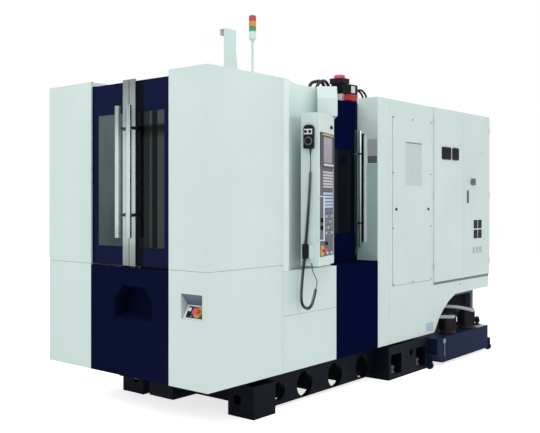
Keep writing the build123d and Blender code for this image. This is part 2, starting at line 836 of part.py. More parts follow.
def column():
    d0, d1 = column_start, column_start + column_length
    low = rear_bed_top + 4
    body = block(-column_half, column_half, d0, d1, low, column_top)
    body = fillet(body.edges().filter_by(Axis.Z), 20)
    body -= block(-window_half, window_half, d0, d1, column_window_bottom, column_window_top)
    for side in (-1, 1):
        for z in (1150, 1500, 1850, 2200):
            x = side * (column_half - 30)
            body -= block(x - 30, x + 30, d0 + 110, d1 - 110, z - 120, z + 120)
    for depth in cross_rail_depths:
        body -= block(-column_half, column_half, depth - rail_width / 2 - slide_gap,
                      depth + rail_width / 2 + slide_gap, low, rear_bed_top + rail_height + slide_gap)
    for side in (-1, 1):
        body += block(side * 215 - 17.5, side * 215 + 17.5, d0 - 30, d0, column_window_bottom - 60,
                      column_window_top + 60)
    return body


def column_motor():
    size = motor_size / 2
    motor = block(-size, size, motor_depth - size, motor_depth + size, column_top + 125, motor_top)
    motor = fillet(motor.edges().filter_by(Axis.Z), 12)
    bracket = rod_z(60, 0, motor_depth, column_top, column_top + 125)
    flange = block(-90, 90, motor_depth - 90, motor_depth + 90, column_top, column_top + 18)
    cap = block(-55, 55, motor_depth - 55, motor_depth + 55, motor_top, cap_top)
    cap = fillet(cap.edges().filter_by(Axis.Z), 20)
    second = block(180, 262, 2480, 2600, column_top, column_top + 118)
    second = fillet(second.edges().filter_by(Axis.Z), 8)
    return motor + bracket + flange + cap, second


def hose(points, radius):
    return smooth_tube([Vector(x, at(depth), z) for x, depth, z in points], radius)


def column_hoses():
    # Two hoses arch forward from the column's top to its front face, two more run down behind the motor
    hoses = []
    for x in (-20, 30):
        front = column_start - 200 + x
        hoses.append(hose([(x, column_start + 60, column_top), (x, column_start + 60, column_top + 120),
                           (x + 6, column_start - 30, column_top + 205), (x + 10, front, column_top + 160),
                           (x + 6, front - 20, column_top + 10), (x, front + 50, column_top - 150),
                           (x, column_start, column_top - 150)], hose_radius))
    for x in (105, 145):
        hoses.append(hose([(x - 40, motor_depth + 100, column_top), (x - 40, motor_depth + 100, column_top + 110),
                           (x - 4, motor_depth + 150, column_top + 160), (x + 32, motor_depth + 205, column_top + 100),
                           (x + 32, motor_depth + 205, column_top)], hose_radius - 5))
    return hoses


hose_radius = 15.0


def spindle_head():
    z0, z1 = spindle_height - 230, spindle_height + 230
    carriage = block(-260, 260, column_start - 64, column_start - 20, z0, z1)
    for side in (-1, 1):
        carriage -= block(side * 215 - 17.5 - slide_gap, side * 215 + 17.5 + slide_gap,
                          column_start - 30 - slide_gap, column_start - 20, z0, z1)
    snout = block(-head_half, head_half, head_start, column_start - 64, spindle_height - 190, spindle_height + 190)
    snout = fillet(snout.edges().filter_by(Axis.Y), 40)
    neck = block(-head_neck, head_neck, column_start - 20, column_start + 330,
                 spindle_height - 130, spindle_height + 130)
    body = carriage + snout + neck
    nose = Pos(0, at(head_start - 22), spindle_height) * Rot(90, 0, 0) * Cone(120, 95, 44)
    body += nose
    bore = spindle_radius + slide_gap
    body -= rod_y(bore, 0, spindle_nose, column_start + 300, spindle_height)
    return body


def spindle():
    shaft = rod_y(spindle_radius, 0, spindle_nose + 20, column_start + 299, spindle_height)
    flange = rod_y(44, 0, spindle_nose, spindle_nose + 20, spindle_height)
    body = shaft + flange
    taper = Pos(0, at(spindle_nose + 34), spindle_height) * Rot(90, 0, 0) * Cone(12.4, 22.3, 68)
    body -= taper
    body -= rod_y(9, 0, spindle_nose, column_start + 299, spindle_height)
    for side in (-1, 1):
        body += block(side * 32 - 8, side * 32 + 8, spindle_nose - 10, spindle_nose, spindle_height - 8,
                      spindle_height + 8)
    return body


# Tool magazine

def magazine_frame():
    plate_out = disc_across + disc_thick + 20
    plate = outline_yz([(disc_depth - 120, 500), (disc_depth + 120, 500), (disc_depth + 120, disc_height + 90),
                        (disc_depth - 120, disc_height + 90)], -plate_out - 20, -plate_out)
    shelf = block(-plate_out, -bed_half + 11, disc_depth - 120, disc_depth + 120, 500, 540)
    axle = rod_x(24.7, -plate_out, -disc_across + 40, disc_depth, disc_height)
    drive = rod_x(70, -plate_out - 85, -plate_out - 20, disc_depth, disc_height)
    return plate + shelf + axle + drive


def magazine_disc():
    x0, x1 = -disc_across - disc_thick, -disc_across
    disc = rod_x(disc_radius, x0, x1, disc_depth, disc_height)
    disc += rod_x(60, x0, x1 + 30, disc_depth, disc_height)
    for index in range(pot_count):
        angle = math.radians(index * 360 / pot_count)
        depth = disc_depth + (disc_radius - 45) * math.cos(angle)
        z = disc_height + (disc_radius - 45) * math.sin(angle)
        pot = rod_x(pot_radius, x1, x1 + pot_length, depth, z) - rod_x(16, x1 + 8, x1 + pot_length, depth, z)
        disc += pot
    for index in range(6):
        angle = math.radians(30 + index * 60)
        depth = disc_depth + 190 * math.cos(angle)
        z = disc_height + 190 * math.sin(angle)
        disc -= rod_x(60, x0, x1, depth, z)
    return disc - rod_x(25, x0, x1 + 30, disc_depth, disc_height)


# Signal tower

tower_across = 280.0
tower_depth = 1002.0
tower_radius = 29.0
lens_height = 40.0
tower_top = 3018.0


def tower_pole():
    base = rod_z(45, tower_across, tower_depth, cover_top, cover_top + 12)
    pole = rod_z(9, tower_across, tower_depth, cover_top + 12, tower_top - 3 * lens_height - 60)
    collar = Pos(tower_across, at(tower_depth), tower_top - 3 * lens_height - 75) * Cone(10, 22, 30)
    cup = rod_z(tower_radius - 1, tower_across, tower_depth, tower_top - 3 * lens_height - 60,
                tower_top - 3 * lens_height)
    return base + pole + collar + cup


def tower_lenses():
    lenses = []
    for index in range(3):
        z = tower_top - 3 * lens_height + index * lens_height
        lens = rod_z(tower_radius, tower_across, tower_depth, z, z + lens_height)
        lenses.append(fillet(lens.edges(), 2.5))
    return lenses


# Pendant, modelled square in its own frame and then turned about its front corner

def pendant_place():
    return (Pos(right_side + pendant_corner_across, at(pendant_corner_depth), 0)
            * Rot(0, 0, pendant_turn))


def pendant_block(u0, u1, w0, w1, z0, z1):
    # u runs along the control face, w inwards from it
    return Pos(-(w0 + w1) / 2, (u0 + u1) / 2, (z0 + z1) / 2) * Box(w1 - w0, u1 - u0, z1 - z0)


def pendant_rod(radius, u, z, w0, w1):
    return Pos(-(w0 + w1) / 2, u, z) * Rot(0, 90, 0) * Cylinder(radius, w1 - w0)


def pendant_housing():
    shell = pendant_block(0, pendant_width, 0, pendant_thick, pendant_bottom, pendant_top)
    shell = fillet(shell.edges().filter_by(Axis.Z), 8)
    shell -= pendant_block(8, pendant_width - 8, 14, pendant_thick - sheet, pendant_bottom + sheet, pendant_top - sheet)
    shell -= pendant_block(panel_margin + 4, pendant_width - panel_margin - 4, 0, 14, panel_bottom + 4, panel_top - 4)
    hub = rod_z(22, right_side + pivot_across, pivot_depth, pendant_top, pendant_top + 30)
    holder = Pos(-holder_back, -holder_thick / 2, 1188) * Box(30, holder_thick, 100)
    plug = Pos(-holder_back, -holder_thick / 2, 1122) * Cylinder(8, 32)
    guard = pendant_block(-guard_bar, 0, -guard_reach, 12, guard_low, guard_low + guard_bar)
    guard += pendant_block(-guard_bar, 0, -guard_reach, 12, guard_high - guard_bar, guard_high)
    guard += pendant_block(-guard_bar, 0, -guard_reach, -guard_reach + guard_bar, guard_low, guard_high)
    return pendant_place() * (shell + holder + plug + guard) + hub


holder_back = 57.0
holder_thick = 22.0
guard_bar = 8.0
guard_reach = 41.0
guard_low = 1270.0
guard_high = 1601.0
estop_along = 68.0
estop_height = 1193.0
estop_shaft = 11.0
ring_radius = 41.0
knob_heights = (1421.0, 1364.0)
knob_along = 49.0
key_left = 84.0


def pendant_panel():
    face = pendant_block(panel_margin + 4.3, pendant_width - panel_margin - 4.3, 0, 8, panel_bottom + 4.3,
                         panel_top - 4.3)
    bezel = pendant_block(panel_margin + 8, pendant_width - panel_margin - 8, -6, 0, 1815, panel_top - 8)
    bezel -= pendant_block(60, 290, -6, -2, 1850, 2040)
    face += bezel
    for row in range(6):
        for column in range(10):
            low = 1772 - row * 22
            left = key_left + column * 27
            face += pendant_block(left, left + 22, -3, 0, low, low + 15)
    for row in range(5):
        for column in range(8):
            low = 1612 - row * 25
            left = key_left + 12 + column * 32
            face += pendant_block(left, left + 26, -3, 0, low, low + 17)
    for index in range(12):
        face += pendant_block(key_left + index * 20, key_left + 14 + index * 20, -8, -6, 1824, 1836)
    for row in range(4):
        for column in range(4):
            face += pendant_rod(9, 165 + column * 50, 1455 - row * 42, -4, 0)
    face += pendant_rod(14, 160, 1243, -14, 0)
    for along in (190, 230, 290):
        face += pendant_rod(10, along, 1168, -7, 0)
    face += pendant_rod(ring_radius, estop_along, estop_height, -2, 0)
    for z in knob_heights:
        face -= pendant_rod(5.3, knob_along, z, 0, 8)
    face -= pendant_rod(estop_shaft + 0.3, estop_along, estop_height, -2, 8)
    return pendant_place() * face


def pendant_knob(index):
    z = knob_heights[index]
    knob = pendant_rod(17, knob_along, z, -20, -0.5) + pendant_rod(5, knob_along, z, -0.5, 12)
    knob += pendant_block(knob_along - 2, knob_along + 2, -22, -20, z, z + 15)
    return pendant_place() * knob


def mushroom(shaft, cap):
    # Mushroom head of an emergency stop, its axis along +X and its seat at x = 0
    profile = Polyline((0, 0), (0, 34)) + ThreePointArc((0, 34), (cap * 0.7, 29), (cap, 20))
    profile += Polyline((cap, 20), (cap * 0.85, 14), (shaft, 10), (shaft, -12), (0, -12), (0, 0))
    return revolve(Plane.XZ * make_face(profile), axis=Axis.Z)


def pendant_estop():
    button = mushroom(estop_shaft, 21)
    return pendant_place() * Pos(5, estop_along, estop_height) * Rot(0, 90, 0) * button


# Arm that carries the pendant

arm_front = ((772.0, 1241.0), (890.0, 1340.0))
arm_bottom = pendant_top + 4
arm_break = 2357.0


def arm_corners(back):
    (x0, d0), (x1, d1) = arm_front
    length = math.hypot(x1 - x0, d1 - d0)
    nx, nd = -(d1 - d0) / length, (x1 - x0) / length
    return (x0, d0), (x1, d1), (x1 + nx * back, d1 + nd * back), (x0 + nx * back, d0 + nd * back)


arm_back = 270.0
arm_slope = 60.0


def arm_solid():
    return outline_xy(arm_corners(arm_back), arm_bottom, cover_top)


def pendant_arm():
    body = arm_solid()
    (x0, d0), (x1, d1) = arm_front
    turn = math.degrees(math.atan2(d1 - d0, x1 - x0))
    cutter = extrude(Plane.YZ * make_face(Polyline((-1, arm_break), (arm_slope, cover_top + 1), (-1, cover_top + 1),
                                                   close=True)), amount=400, both=True)
    middle = Pos((x0 + x1) / 2, at((d0 + d1) / 2), 0) * Rot(0, 0, turn)
    body -= middle * cutter
    body -= rod_z(22.3, right_side + pivot_across, pivot_depth, arm_bottom, pendant_top + 31)
    return body


# Hand-held pulse unit on the pendant's side

unit_back = 78.0
unit_wide = 80.0
unit_thick = 28.0
unit_tall = 176.0
unit_low = 1950.0
gland_back = 66.0


def pulse_unit():
    case = Pos(-unit_back, -unit_thick / 2, unit_low + unit_tall / 2) * Box(unit_wide, unit_thick, unit_tall)
    case = fillet(case.edges().filter_by(Axis.Y).sort_by(Axis.Z)[-2:], 30)
    case = fillet(case.edges().filter_by(Axis.Y).sort_by(Axis.Z)[:2], 8)
    case = fillet(case.faces().sort_by(Axis.Y)[0].edges(), 5)
    wheel = Pos(-unit_back, -unit_thick - 3, unit_low + 56) * Rot(90, 0, 0) * Cylinder(24, 6)
    gland = Pos(-gland_back, -unit_thick / 2, unit_low - 8) * Cylinder(6, 18)
    return pendant_place() * (case + wheel + gland)


# Lead of the pulse unit: points in the pendant's frame, w inwards, v out from the side, z up

def lead_tube(points, radius):
    return smooth_tube([(pendant_place() * Pos(-w, -v, z)).position for w, v, z in points], radius)


lead_radius = 3.0
curl_radius = 10.0
upper_lead = [(66.0, 14.0, 1933.0), (64.5, 15.0, 1870.0), (64.0, 16.0, 1800.0)]
curl_line = [(64.0, 16.0, 1800.0), (73.0, 17.0, 1600.0), (102.0, 18.0, 1225.0), (133.0, 17.0, 955.0),
             (139.0, 16.0, 830.0), (124.0, 16.0, 785.0), (92.0, 16.0, 765.0), (62.0, 16.0, 780.0),
             (45.0, 16.0, 825.0), (19.0, 16.0, 935.0)]
lower_lead = [(19.0, 16.0, 935.0), (12.0, 15.5, 965.0), (20.0, 14.5, 992.0), (38.0, 13.0, 1020.0),
              (53.0, 11.5, 1060.0), (57.0, 11.0, 1106.0)]


def pulse_lead():
    return lead_tube(upper_lead, lead_radius), lead_tube(lower_lead, lead_radius)


def pulse_curl():
    return lead_tube(curl_line, curl_radius)


# Buttons in the recess of the front skirt

plate_rise = 55.0


def station_panel():
    low = outline_yz([(12, button_bottom), (96, button_bottom), (96, button_bottom + plate_rise + 6),
                      (12, button_bottom + 8)], button_left + 12, button_right - 4)
    slope = math.degrees(math.atan2(plate_rise - 2, 84))
    place = station_place(slope)
    low -= place * Pos(station_stop_along, 0, 0) * Cylinder(11.3, 40)
    low -= place * Pos(station_key_along, 10, -4) * Box(24.6, 24.6, 24)
    ring = place * Pos(station_stop_along, 0, 1) * (Cylinder(36, 2) - Cylinder(11.3, 2))
    key_box = place * Pos(-20, -18, 4) * Box(60, 22, 8)
    lamps = [place * Pos(x, -30, 4) * Cylinder(7, 8) for x in (28,)]
    body = low + ring + key_box
    for lamp in lamps:
        body += lamp
    return body


station_stop_along = 62.0
station_key_along = -28.0


def station_place(slope):
    centre_depth = 54
    height = button_bottom + 8 + (plate_rise - 2) * (centre_depth - 12) / 84
    return Pos((button_left + button_right) / 2, at(centre_depth), height) * Rot(slope, 0, 0)


def station_stop():
    slope = math.degrees(math.atan2(plate_rise - 2, 84))
    return station_place(slope) * Pos(station_stop_along, 0, 3) * mushroom(11, 27)


def station_key():
    slope = math.degrees(math.atan2(plate_rise - 2, 84))
    return station_place(slope) * Pos(station_key_along, 10, 3.5) * Box(24, 24, 17)


# Coolant tank

def tank():
    outline = [(tank_start, 120), (tank_main, tank_bottom), (tank_end, tank_bottom), (tank_end, tank_top),
               (tank_start, tank_top)]
    body = outline_yz(outline, -tank_left, tank_right)
    inset = [(tank_start + 4, 123), (tank_main + 2, tank_bottom + 4), (tank_end - 4, tank_bottom + 4),
             (tank_end - 4, tank_top - 4), (tank_start + 4, tank_top - 4)]
    body -= outline_yz(inset, -tank_left + 4, tank_right - 4)
    body -= block(-tank_left + 120, 100, tank_main + 100, tank_end - 300, tank_top - 4, tank_top)
    body -= block(-tank_left, -tank_left + 120, tank_start, notch_end, tank_bottom, tank_top)
    body += block(-tank_left, -tank_left + 120, notch_end, notch_end + 4, tank_bottom + 2, tank_top - 2)
    body += block(-tank_left + 116, -tank_left + 120, tank_start + 8, notch_end, 126, tank_top - 2)
    for x, depths in wheel_places:
        for depth in depths:
            for side in (-1, 1):
                edge = depth + side * 16
                body += block(x - 20, x + 20, edge - 2.5, edge + 2.5, wheel_radius - 12, fork_height)
            far = tank_start + 30 if depth < tank_start else notch_end + 2 if depth < tank_main else tank_end - 2
            body += block(x - 20, x + 20, min(depth - 18.5, far), max(depth + 18.5, far), fork_height,
                          fork_height + 8)
            body += rod_y(5.7, x, depth - 18.5, depth + 18.5, wheel_radius)
    return body


notch_end = 3090.0
fork_height = 118.0
wheel_places = ((858.0, (wheel_depth, tank_end + 75)), (-500.0, (3030.0, tank_end + 75)))


def tank_wheel(x, depth):
    wheel = rod_y(wheel_radius, x, depth - 13, depth + 13, wheel_radius)
    return fillet(wheel.edges(), 4) - rod_y(6, x, depth - 13, depth + 13, wheel_radius)


pump_places = ((795.0, 3335.0, 80.0, 182.0), (800.0, 3848.0, 52.0, 192.0), (800.0, 4020.0, 22.0, 87.0))
pipe_radius = 11.0


def coolant_pumps():
    pieces = []
    for x, depth, radius, tall in pump_places:
        pump = rod_z(radius + 12, x, depth, tank_top, tank_top + 10)
        pump += rod_z(radius, x, depth, tank_top + 10, tank_top + tall)
        for index in range(12):
            angle = index * 30
            fin = Pos(radius, 0, 0) * Box(12, 4, tall - 50)
            pump += Pos(x, at(depth), tank_top + tall / 2) * Rot(0, 0, angle) * fin
        pieces.append(pump)
    # Delivery pipes of the two larger pumps, bent down into the pumps' side and on to the bed and the stand
    pieces.append(hose([(795, 3335, tank_top + 150), (700, 3335, tank_top + 150), (640, 3180, tank_top + 140),
                        (600, 3080, tank_top + 130), (600, rear_bed_end, tank_top + 130)], pipe_radius))
    pieces.append(hose([(800, 3848, tank_top + 160), (720, 3848, tank_top + 165), (693, 3700, tank_top + 205),
                        (560, 3300, tank_top + 250), (520, 3080, tank_top + 250),
                        (520, rear_bed_end, tank_top + 250)], pipe_radius))
    return pieces


def build():
    save("bed", bed())
    save("levelling_jacks", *levelling_jacks())
    save("left_front_cover", left_front_cover())
    save("left_front_skirt", left_front_skirt())
    save("right_front_cover", right_front_cover())
    save("right_front_skirt", right_front_skirt())
    save("front_apron", front_apron())
    save("pendant_bay", pendant_bay())
    save("side_skirts", *side_skirts())
    save("side_apron", side_apron())
    save("rear_side_cover", rear_side_cover())
    save("cabinet", cabinet())
    save("front_cabinet_door", front_cabinet_door())
    save("rear_cabinet_door", rear_cabinet_door())
    save("main_switch", main_switch())
    save("left_side_cover", left_side_cover())
    save("magazine_door", magazine_door())
    save("rear_cover", rear_cover())
    save("roof", *roof())
    save("cover_frame", *cover_frame())
    for side, word in ((-1, "left"), (1, "right")):
        save(f"{word}_front_door", front_door(side))
        save(f"{word}_door_window", door_window(side))
        save(f"{word}_door_post", door_post(side))
    save("side_door", side_door())
    save("side_door_window", side_door_window())
    save("side_door_handle", side_door_handle())
    save("table_saddle", table_saddle())
    save("rotary_table", rotary_table())
    save("table_pallet", pallet(table_rest, pallet_top))
    save("station_pallet", pallet(changer_depth - changer_radius, pallet_top - fork_gap))
    save("changer_lift", changer_lift())
    save("changer_fork", changer_fork())
    save("column", column())
    save("column_motor", *column_motor())
    save("column_hoses", *column_hoses())
    save("spindle_head", spindle_head())
    save("spindle", spindle())
    save("magazine_frame", magazine_frame())
    save("magazine_disc", magazine_disc())
    save("tower_pole", tower_pole())
    save("tower_lenses", *tower_lenses())
    save("pendant_housing", pendant_housing())
    save("pendant_panel", pendant_panel())
    save("feed_knob", pendant_knob(0))
    save("speed_knob", pendant_knob(1))
    save("pendant_estop", pendant_estop())
    save("pendant_arm", pendant_arm())
    save("pulse_unit", pulse_unit())
    save("pulse_lead", *pulse_lead())
    save("pulse_curl", pulse_curl())
    save("station_panel", station_panel())
    save("station_stop", station_stop())
    save("station_key", station_key())
    save("tank", tank())
    for index, (x, depths) in enumerate(wheel_places):
        save(f"tank_wheels_{index + 1}", *[tank_wheel(x, depth) for depth in depths])
    save("coolant_pumps", *coolant_pumps())


build()
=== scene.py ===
import json
import math

import bmesh
import bpy
from mathutils import Matrix, Vector


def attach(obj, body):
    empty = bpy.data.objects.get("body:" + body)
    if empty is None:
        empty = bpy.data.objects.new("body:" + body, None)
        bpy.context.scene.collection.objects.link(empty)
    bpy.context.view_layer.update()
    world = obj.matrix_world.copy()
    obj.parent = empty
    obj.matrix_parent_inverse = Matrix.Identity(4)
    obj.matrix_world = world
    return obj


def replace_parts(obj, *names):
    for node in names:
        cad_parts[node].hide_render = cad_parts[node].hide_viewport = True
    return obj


# A horizontal machining center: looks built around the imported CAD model, in its frame.
# The frame, the camera and the lamps are in metres, details in millimetres.
# Depths are distances behind the front panels.

FRONT = -1.724      # Y of the front panels
RIGHT = 0.793       # X of the cover on the operator's side


def at(depth):
    """Y of a depth in millimetres behind the front panels."""
    return FRONT + depth / 1000


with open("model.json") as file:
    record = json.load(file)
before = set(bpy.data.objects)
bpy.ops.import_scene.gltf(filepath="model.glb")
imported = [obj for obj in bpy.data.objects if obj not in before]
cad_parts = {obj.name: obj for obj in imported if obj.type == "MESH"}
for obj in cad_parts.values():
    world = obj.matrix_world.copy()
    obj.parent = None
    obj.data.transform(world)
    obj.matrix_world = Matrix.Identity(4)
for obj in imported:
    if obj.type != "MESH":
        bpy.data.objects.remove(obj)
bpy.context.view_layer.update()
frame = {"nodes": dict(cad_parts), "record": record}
nodes = frame["nodes"]
scene = bpy.context.scene
scene.view_settings.view_transform = "Standard"


# Camera

camera_data = bpy.data.cameras.new("camera")
camera_data.sensor_width = 36.0
camera_data.lens = 52.53
camera_data.shift_y = -0.0306
camera_data.clip_end = 100
camera = bpy.data.objects.new("camera", camera_data)
camera.location = (4.3782, -5.4210, 1.5707)
camera.rotation_euler = (math.radians(90), 0, math.radians(39.6))
scene.collection.objects.link(camera)
scene.camera = camera


# Materials

class Nodes:
    """Short calls for one material's node tree."""

    def __init__(self, name):
        self.material = bpy.data.materials.new(name)
        self.material.use_nodes = True
        self.tree = self.material.node_tree
        self.tree.nodes.clear()
        self.output = self.tree.nodes.new("ShaderNodeOutputMaterial")
        self.shader = self.tree.nodes.new("ShaderNodeBsdfPrincipled")
        self.tree.links.new(self.shader.outputs[0], self.output.inputs[0])
        self.place = None

    def set(self, **values):
        for key, value in values.items():
            self.shader.inputs[key.replace("_", " ")].default_value = value
        return self

    def node(self, kind, **values):
        made = self.tree.nodes.new(kind)
        for key, value in values.items():
            if key in made.inputs:
                made.inputs[key].default_value = value
            else:
                setattr(made, key, value)
        return made

    def link(self, source, target):
        self.tree.links.new(source, target)

    def where(self, stretch=(1, 1, 1)):
        """Object coordinates, stretched along each axis."""
        if self.place is None:
            self.place = self.node("ShaderNodeTexCoord")
        mapping = self.node("ShaderNodeMapping")
        mapping.inputs["Scale"].default_value = stretch
        self.link(self.place.outputs["Object"], mapping.inputs["Vector"])
        return mapping.outputs["Vector"]

    def noise(self, scale, detail=3.0, stretch=(1, 1, 1), rough=0.5):
        made = self.node("ShaderNodeTexNoise", Scale=scale, Detail=detail, Roughness=rough)
        self.link(self.where(stretch), made.inputs["Vector"])
        return made.outputs["Fac"]

    def axes(self):
        """Object coordinates, one by one."""
        made = self.node("ShaderNodeSeparateXYZ")
        self.link(self.where(), made.inputs[0])
        return made.outputs

    def stops(self, source, colours):
        """A colour ramp through pairs of a position and a colour."""
        made = self.node("ShaderNodeValToRGB")
        elements = made.color_ramp.elements
        for position, _ in colours[1:-1]:
            elements.new(position)
        for element, (position, colour) in zip(elements, colours):
            element.position = position
            element.color = (*colour, 1)
        self.link(source, made.inputs["Fac"])
        return made.outputs["Color"]

    def ramp(self, source, low, high, first, second):
        return self.stops(source, ((low, first), (high, second)))

    def span(self, source, first, second, low=0.3, high=0.7):
        made = self.node("ShaderNodeMapRange")
        for key, value in (("From Min", low), ("From Max", high), ("To Min", first), ("To Max", second)):
            made.inputs[key].default_value = value
        self.link(source, made.inputs["Value"])
        return made.outputs["Result"]

    def total(self, first, second):
        made = self.node("ShaderNodeMath", operation="ADD")
        self.link(first, made.inputs[0])
        self.link(second, made.inputs[1])
        return made.outputs[0]

    def bump(self, source, strength, distance):
        made = self.node("ShaderNodeBump", Strength=strength, Distance=distance)
        self.link(source, made.inputs["Height"])
        self.link(made.outputs["Normal"], self.shader.inputs["Normal"])

    def colour(self, source):
        self.link(source, self.shader.inputs["Base Color"])

    def rough(self, source):
        self.link(source, self.shader.inputs["Roughness"])


def scaled(colour, factor):
    return tuple(min(1.0, part * factor) for part in colour)


def tinted(tones, tint):
    """Stops of a colour ramp from pairs of a position and a grey tone."""
    return [(position, tuple(tone * part for part in tint)) for position, tone in tones]


def paint(name, colour, rough=0.4, spread=0.03, gloss=0.3):
    """Sprayed paint: slight clouds in the colour, orange peel in the surface."""
    m = Nodes(name).set(Specular_IOR_Level=gloss)
    m.colour(m.ramp(m.noise(1.7, 4), 0.3, 0.7, scaled(colour, 1 - spread), scaled(colour, 1 + spread)))
    m.rough(m.span(m.noise(9, 3), rough * 0.9, rough * 1.12))
    m.bump(m.noise(900, 2), 0.05, 0.0004)
    return m.material


def metal(name, colour, rough, stretch, grain=60, bump=0.06):
    """Brushed metal, its lines along the axis that is stretched least."""
    m = Nodes(name).set(Metallic=1.0)
    lines = m.noise(grain, 5, stretch, 0.6)
    m.colour(m.ramp(lines, 0.25, 0.75, scaled(colour, 0.86), scaled(colour, 1.1)))
    m.rough(m.span(lines, rough * 0.75, rough * 1.3))
    m.bump(lines, bump, 0.0003)
    return m.material


def steel_with_painted_reflection(name, foot, head, tones):
    """Brushed steel that stands upright, with a painted reflection that changes its tone over the height from
    foot to head.
    """
    m = Nodes(name).set(Metallic=1.0)
    lines = m.noise(60, 5, (9, 9, 0.15), 0.6)
    sway = m.span(m.noise(2.6, 2, (0.2, 0.2, 1)), -0.09, 0.09)
    height = m.total(sway, m.span(m.axes()[2], 0, 1, foot, head))
    m.colour(m.stops(height, tinted(tones, (0.94, 1.08, 1.06))))
    m.rough(m.span(lines, 0.22, 0.40))
    m.bump(lines, 0.06, 0.0003)
    return m.material


def plastic(name, colour, rough=0.45, grain=1500, bump=0.12, spread=0.06, coat=0.0, gloss=0.3):
    """Moulded plastic with fine spark-eroded texture."""
    m = Nodes(name).set(Specular_IOR_Level=gloss, Coat_Weight=coat, Coat_Roughness=0.1)
    m.colour(m.ramp(m.noise(14, 3), 0.3, 0.7, scaled(colour, 1 - spread), scaled(colour, 1 + spread)))
    m.rough(m.span(m.noise(40, 2), rough * 0.88, rough * 1.15))
    m.bump(m.noise(grain, 2), bump, 0.0002)
    return m.material


def cast(name, colour, rough=0.5, gloss=0.15):
    """Painted casting with a rough skin."""
    m = Nodes(name).set(Specular_IOR_Level=gloss)
    m.colour(m.ramp(m.noise(6, 5), 0.3, 0.7, scaled(colour, 0.8), scaled(colour, 1.2)))
    m.rough(m.span(m.noise(25, 4), rough * 0.8, rough * 1.2))
    m.bump(m.noise(140, 5), 0.35, 0.0012)
    return m.material


pale_paint = paint("pale_paint", (0.600, 0.712, 0.684), rough=0.36, gloss=0.25)
# A lighter copy of the pale paint for the pendant bay: painted light in its hollow.
bay_paint_with_painted_light = paint("bay_paint_with_painted_light", (0.70, 0.81, 0.78), rough=0.36, gloss=0.25)
navy_paint = paint("navy_paint", (0.0045, 0.0075, 0.036), rough=0.3, spread=0.1, gloss=0.02)
# Darker copies of the navy paint for the front apron and the operator's side: painted shade.
navy_low_painted_shade = paint("navy_low_painted_shade", (0.0040, 0.0062, 0.027), rough=0.3, spread=0.1, gloss=0.0)
navy_side_painted_shade = paint("navy_side_painted_shade", (0.0020, 0.0042, 0.030), rough=0.3, spread=0.1, gloss=0.0)
tank_paint = paint("tank_paint", (0.0075, 0.014, 0.045), rough=0.45, spread=0.12, gloss=0.02)
bed_paint = cast("bed_paint", (0.0045, 0.0065, 0.0120), gloss=0.04)
frame_paint = paint("frame_paint", (0.05, 0.055, 0.075), rough=0.5)
iron = cast("iron", (0.10, 0.11, 0.12), rough=0.4)
# Painted reflections: bands of lighter and darker tone over the height of the door posts and the side handle.
post_steel_painted_reflection = steel_with_painted_reflection("post_steel_painted_reflection", 1.10, 2.42, (
    (0, 0.20), (0.14, 0.29), (0.3, 0.56), (0.62, 0.58), (0.82, 0.36), (1, 0.24)))
steel_upright_painted_reflection = steel_with_painted_reflection("steel_upright_painted_reflection", 1.16, 2.17, (
    (0, 0.12), (0.2, 0.18), (0.45, 0.34), (0.7, 0.42), (0.88, 0.62), (1, 0.70)))
steel_plain = metal("steel_plain", (0.55, 0.57, 0.57), 0.34, (4, 4, 4), grain=120)
zinc = metal("zinc", (0.62, 0.64, 0.66), 0.42, (3, 3, 3), grain=200, bump=0.1)
black_plastic = plastic("black_plastic", (0.009, 0.010, 0.012), gloss=0.1)
panel_grey = plastic("panel_grey", (0.085, 0.085, 0.115), rough=0.5)
white_plastic = plastic("white_plastic", (0.74, 0.76, 0.78), rough=0.35, bump=0.05, spread=0.03)
key_white = plastic("key_white", (0.66, 0.66, 0.70), rough=0.4, bump=0.05, spread=0.05)
red_plastic = plastic("red_plastic", (0.68, 0.045, 0.10), rough=0.3, bump=0.04, coat=0.2)
yellow_plastic = plastic("yellow_plastic", (0.62, 0.44, 0.04), rough=0.4, bump=0.05)
cord_rubber = plastic("cord_rubber", (0.010, 0.011, 0.012), rough=0.5, bump=0.15)
hose_rubber = plastic("hose_rubber", (0.018, 0.018, 0.020), rough=0.55, grain=300, bump=0.3)
switch_grey = plastic("switch_grey", (0.20, 0.20, 0.21), rough=0.35)
bezel_grey = plastic("bezel_grey", (0.040, 0.042, 0.060), rough=0.5)
edge_grey = plastic("edge_grey", (0.22, 0.23, 0.26), rough=0.5)
band_blue = plastic("band_blue", (0.10, 0.13, 0.24), rough=0.5)
key_field = plastic("key_field", (0.055, 0.055, 0.080), rough=0.5)
key_cream = plastic("key_cream", (0.58, 0.56, 0.57), rough=0.4, bump=0.05)
key_blue = plastic("key_blue", (0.50, 0.58, 0.72), rough=0.4, bump=0.05)
green_plastic = plastic("green_plastic", (0.05, 0.30, 0.12), rough=0.35, bump=0.05)
gloss_black = plastic("gloss_black", (0.007, 0.008, 0.011), rough=0.22, bump=0.04, coat=0.06, gloss=0.1)
sleeve_black = plastic("sleeve_black", (0.012, 0.014, 0.015), rough=0.16, bump=0.02, coat=1.0, gloss=0.6)
painted_shadow_black = plastic("painted_shadow_black", (0.003, 0.004, 0.008), rough=0.55, gloss=0.02)
slate_and_shade = plastic("slate_and_shade", (0.10, 0.16, 0.20), rough=0.5)
panel_dark = plastic("panel_dark", (0.030, 0.036, 0.050), rough=0.45)
cap_red = plastic("cap_red", (0.60, 0.07, 0.16), rough=0.35, bump=0.06, spread=0.12)
base_red = plastic("base_red", (0.50, 0.018, 0.035), rough=0.4, bump=0.06, spread=0.15)
dark_red = plastic("dark_red", (0.22, 0.012, 0.020), rough=0.35, bump=0.06)
label_grey = plastic("label_grey", (0.50, 0.60, 0.58), rough=0.4, bump=0.04, spread=0.03)
